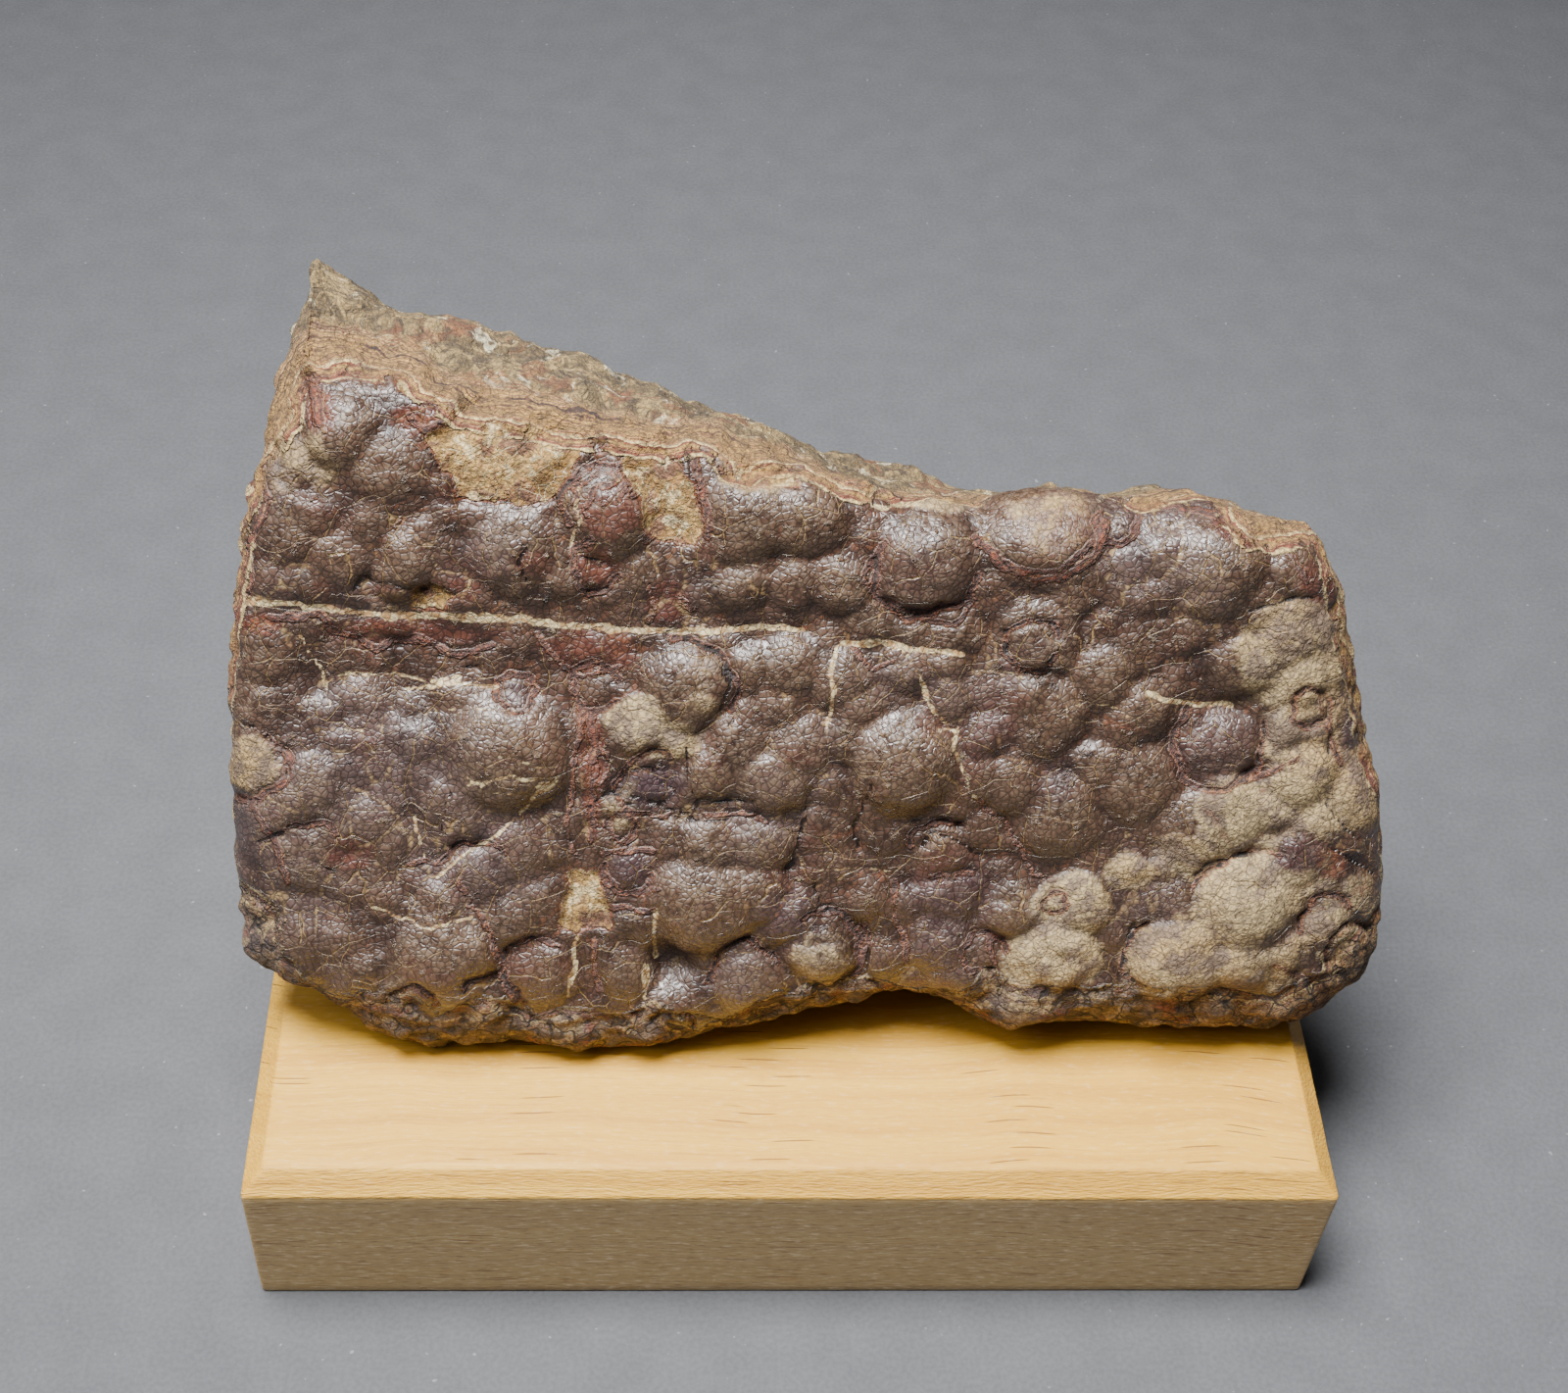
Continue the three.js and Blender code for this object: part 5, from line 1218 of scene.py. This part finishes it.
        # The top stands up to a sharp crest, which runs a little way down the left side.
        from_peak = np.linalg.norm(rim - rim[2 * n + m], axis=1)
        left_peak = (TOP_CREST[0][1] - 1.2) * np.exp(-((from_peak / 5) ** 2))
        peak = np.where((i == 0) & (j < m), left_peak, 0)
        peak = np.where(on_top, np.interp(rim[:, 0], *zip(*TOP_CREST)), peak)
        bulge = np.where(on_top, 0, np.where(j == 0, 0.8, 1.2))
        upward = turned(np.array([0.06, 1.0, 0.0]))
        rings, depths = [], []
        for k in range(1, self.deep):
            w = k / self.deep
            bow = math.sin(math.pi * w)
            q = start + (end - start) * w + away * (math.exp(-w * 9) * rise[i, j])[:, None]
            ledge = np.where(on_top, 0.8 * noise(q[:, 0] / 26, q[:, 1] / 2.6, 3.0), 0)
            ledge += np.where(on_top, 0.45 * noise(q[:, 0] / 14, q[:, 1] / 1.3, 5.0), 0)
            q = q + bow * peak[:, None] * upward
            grip = min(1.0, w * 13) * min(1.0, (1 - w) * 9)
            lift = bow * bulge + grip * np.where(on_top, 0.8, 1.0) * self._rough(q) + ledge * bow
            band = min(1.0, w * 8) * 0.25 * noise(q[:, 0] / 9, np.full(len(q), w * 24), q[:, 2] / 9)
            rings.append(self._settle(q + away * (lift + band)[:, None]))
            depths.append(rim_depth[i, j] + w * np.linalg.norm(end - start, axis=1))
        return rings, depths

    def build(self) -> bpy.types.Object:
        """Makes the closed mesh and what the finish reads from it.

        Returns:
            The specimen.
        """
        self._base = self._plain_face()
        self._normal = self._normals()
        lumps, seam = self._lumps()
        rise, marks = self._relief(lumps)
        face = self._settle(from_face(self._base + self._normal * rise[..., None]))
        rings, depths = self._walls(rise, marks["depth"])
        half_n, half_m = self.across // 2, self.up // 2
        shares = np.meshgrid(np.arange(half_n + 1) / half_n, np.arange(half_m + 1) / half_m,
                             indexing="ij")
        back = self._back(*shares)
        points = np.concatenate([face.reshape(-1, 3), *rings, back.reshape(-1, 3)])
        self.piece = self._mesh(points, back.shape[1])
        self._remember(points, marks, depths, lumps, seam)
        LOG.info("specimen: %d points, %d faces", len(points), len(self.piece.data.polygons))
        return self.piece

    def _mesh(self, points: Array, back_rows: int) -> bpy.types.Object:
        """Joins the face, the rings of the walls and the coarser back into one skin."""
        n, m = self.across, self.up
        grid = np.arange((n + 1) * (m + 1)).reshape(n + 1, m + 1)
        quads = [np.stack([grid[:-1, :-1], grid[1:, :-1], grid[1:, 1:], grid[:-1, 1:]], -1)
                 .reshape(-1, 4)]
        i, j = rim_places(n, m)
        last, loop = grid[i, j], len(i)
        offset = grid.size
        for _ in range(self.deep - 1):
            ring = np.arange(loop) + offset
            quads.append(np.stack([last, ring, np.roll(ring, -1), np.roll(last, -1)], -1))
            last, offset = ring, offset + loop
        back = np.arange(offset, len(points)).reshape(-1, back_rows)
        quads.append(np.stack([back[:-1, :-1], back[:-1, 1:], back[1:, 1:], back[1:, :-1]], -1)
                     .reshape(-1, 4))
        bi, bj = rim_places(n // 2, m // 2)
        b = back[bi, bj]
        c, a0, a1 = np.roll(b, -1), last[0::2], last[1::2]
        a2 = np.roll(a0, -1)
        joins = np.concatenate([np.stack([a0, b, a1], -1), np.stack([a1, b, c], -1),
                                np.stack([a1, c, a2], -1)])
        faces = np.concatenate(quads).tolist() + joins.tolist()
        placed = (points + np.array(self.shift_mm)) * MM
        return make_object("stone", placed, faces)

    def _remember(self, points: Array, marks: dict[str, Array], depths: list[Array],
                  lumps: Array, seam: Array) -> None:
        """Stores for each point what the finish reads."""
        count = marks["vein"].size
        rest = len(points) - count
        walls = np.concatenate(depths)
        mesh = self.piece.data
        face_depth = marks.pop("depth").ravel()
        marks = marks | {"crease": seam, "crown": lumps}
        for name, values in marks.items():
            fill = FAR if name in ("broken", "vein", "red", "crack", "crease") else 0.0
            store(mesh, name, np.concatenate([values.ravel(), np.full(rest, fill)]))
        store(mesh, "depth", np.concatenate([face_depth, walls, np.full(rest - len(walls), 40.0)]))
        store(mesh, "place", points)

    def dress(self, finish: OreFinish) -> None:
        """Gives the specimen its finish and ties it to the frame.

        Args:
            finish: The material to build and put on it.
        """
        self.piece.data.materials.append(finish.build())
        self.piece.data.shade_smooth()
        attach(self.piece, "root")
        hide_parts("stone")


@dataclass
class Stand:
    """The block of wood under the specimen, with a sawn chamfer round its top."""

    shift_mm: tuple[float, float, float]
    along_x: int = 150
    along_y: int = 90
    corner: float = 0.7
    play: float = 0.01
    piece: bpy.types.Object | None = None

    def _outline(self, inset: float) -> Array:
        """Points round the block at an inset, with small rounded upright corners."""
        inset, corner = inset + self.play, self.corner
        near, far = inset + corner, BLOCK["depth"] - inset - corner
        x = BLOCK["width"] / 2 - near
        centres = ((x, near), (x, far), (-x, far), (-x, near))
        arcs = []
        for quarter, (cx, cy) in enumerate(centres):
            angles = [math.radians(90 * (quarter - 1) + 22.5 * k) for k in range(5)]
            arcs.append([(cx + corner * math.cos(a), cy + corner * math.sin(a)) for a in angles])
        points: list[tuple[float, float]] = []
        for quarter, arc in enumerate(arcs):
            points += arc
            (ax, ay), (bx, by) = arc[-1], arcs[(quarter + 1) % 4][0]
            steps = self.along_y if quarter % 2 == 0 else self.along_x
            shares = (k / steps for k in range(1, steps))
            points += [(ax + (bx - ax) * t, ay + (by - ay) * t) for t in shares]
        return np.array(points)

    def build(self) -> bpy.types.Object:
        """Makes the block from rings that go up its sides and over its chamfer.

        Returns:
            The block.
        """
        high, cut, soft = BLOCK["height"], BLOCK["chamfer"], 0.3
        levels = [(1.2, 0), (0.5, 0), (0.12, 0.12), (0, 0.5), (0, 1.6)]
        levels += [(0, z) for z in np.linspace(3, high - cut - 1.2, 10)]
        levels += [(0, high - cut - soft), (0.1, high - cut + 0.12), (0.3, high - cut + 0.3)]
        levels += [(c, high - cut + c) for c in (0.9, 1.5, 2.1)]
        levels += [(cut - 0.3, high - 0.3), (cut - 0.1, high - 0.12), (cut + 0.25, high),
                   (cut + 1.2, high)]
        rings = []
        for level, (inset, z) in enumerate(levels):
            ring = self._outline(inset)
            sawn = 0.10 if 0 < inset < cut + 0.2 and z > high / 2 else 0.03
            x, y = ring[:, 0], ring[:, 1]
            wear = sawn * noise(x / 7, y / 7, level / 3) + sawn * 0.6 * noise(x / 1.6, y / 1.6, level)
            middle = np.array([0, BLOCK["depth"] / 2])
            inward = (middle - ring) / np.abs(middle - ring).max(axis=1, keepdims=True)
            ring = ring + inward * (np.abs(wear) if z > 0 else 0 * wear)[:, None]
            rings.append(np.column_stack([ring, np.full(len(ring), z)]))
        loop = len(rings[0])
        faces = [list(range(loop))[::-1]]
        for k in range(len(rings) - 1):
            low = k * loop + np.arange(loop)
            faces += np.stack([low, np.roll(low, -1), np.roll(low, -1) + loop, low + loop], -1).tolist()
        faces.append(list(range((len(rings) - 1) * loop, len(rings) * loop)))
        points = np.concatenate(rings)
        self.piece = make_object("stand", (points + np.array(self.shift_mm)) * MM, faces)
        flat = np.ones(len(faces), bool)
        flat[[0, -1]] = False
        self.piece.data.polygons.foreach_set("use_smooth", flat)
        end_grain = ease((np.abs(points[:, 0]) - BLOCK["width"] / 2 + 1.5) / 1.2)
        slope = ease((points[:, 2] - high + cut + 0.3) / 0.4) * ease((high - points[:, 2]) / 0.2)
        right = 0.6 * ease((points[:, 0] - 58) / 14) * (points[:, 1] < 1) * (points[:, 2] < high - 1)
        store(self.piece.data, "sawn", np.maximum(np.maximum(end_grain, slope), right))
        store(self.piece.data, "upright", ease((high - cut - points[:, 2]) / 0.4))
        store(self.piece.data, "place", points)
        LOG.info("stand: %d points, %d faces", len(points), len(faces))
        return self.piece

    def dress(self, finish: WoodFinish) -> None:
        """Gives the block its finish and ties it to the frame.

        Args:
            finish: The material to build and put on it.
        """
        self.piece.data.materials.append(finish.build())
        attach(self.piece, "root")
        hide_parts("stand")


@dataclass(frozen=True)
class SoftLight:
    """A large soft lamp that looks at the specimen."""

    name: str
    place_m: tuple[float, float, float]
    size_m: float
    power_w: float
    spread_deg: float = 180.0

    def build(self, target: Vector) -> None:
        """Adds the lamp, turned towards the target.

        Args:
            target: The place it looks at, in metres.
        """
        data = bpy.data.lights.new(self.name, "AREA")
        data.shape, data.size, data.energy = "DISK", self.size_m, self.power_w
        data.spread = math.radians(self.spread_deg)
        lamp = bpy.data.objects.new(self.name, data)
        lamp.location = Vector(self.place_m)
        lamp.rotation_euler = (target - lamp.location).to_track_quat("-Z", "Y").to_euler()
        bpy.context.collection.objects.link(lamp)


@dataclass
class Studio:
    """Pale floor and soft light from above."""

    floor_m: float = 6.0
    ambient: float = 0.08
    sky: str = "#f4f6ff"
    look_at_m: tuple[float, float, float] = (0, 0, 0.06)
    lamps: tuple[SoftLight, ...] = (
        SoftLight("overhead", (-0.12, -0.02, 0.68), 0.34, 4.8, 100.0),
        SoftLight("left window", (-0.62, -0.24, 0.76), 0.5, 2.9),
    )

    def build(self, finish: BackdropFinish) -> None:
        """Adds the floor, the lamps and a weak even sky.

        Args:
            finish: The floor's material.
        """
        half = self.floor_m / 2
        corners = np.array([(-half, -half, 0), (half, -half, 0), (half, half, 0), (-half, half, 0)])
        floor = make_object("floor", corners, [[0, 1, 2, 3]])
        floor.data.materials.append(finish.build())
        for lamp in self.lamps:
            lamp.build(Vector(self.look_at_m))
        world = bpy.data.worlds.new("studio")
        world.use_nodes = True
        sky = world.node_tree.nodes["Background"]
        sky.inputs["Color"].default_value = linear(self.sky)
        sky.inputs["Strength"].default_value = self.ambient
        bpy.context.scene.world = world


def main() -> None:
    """Builds and dresses each piece, with the camera and the studio; the builds log their point and
    face counts.
    """
    logging.basicConfig(level=logging.INFO, format="%(message)s")
    low, high = (Vector(corner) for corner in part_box("stand"))
    PhotoCamera().build(low, high)
    shift = ((low.x + high.x) / 2 / MM, low.y / MM, low.z / MM)
    specimen = Specimen(shift)
    specimen.build()
    specimen.dress(OreFinish())
    stand = Stand(shift)
    stand.build()
    stand.dress(WoodFinish())
    Studio().build(BackdropFinish())


if __name__ == "__main__":
    main()
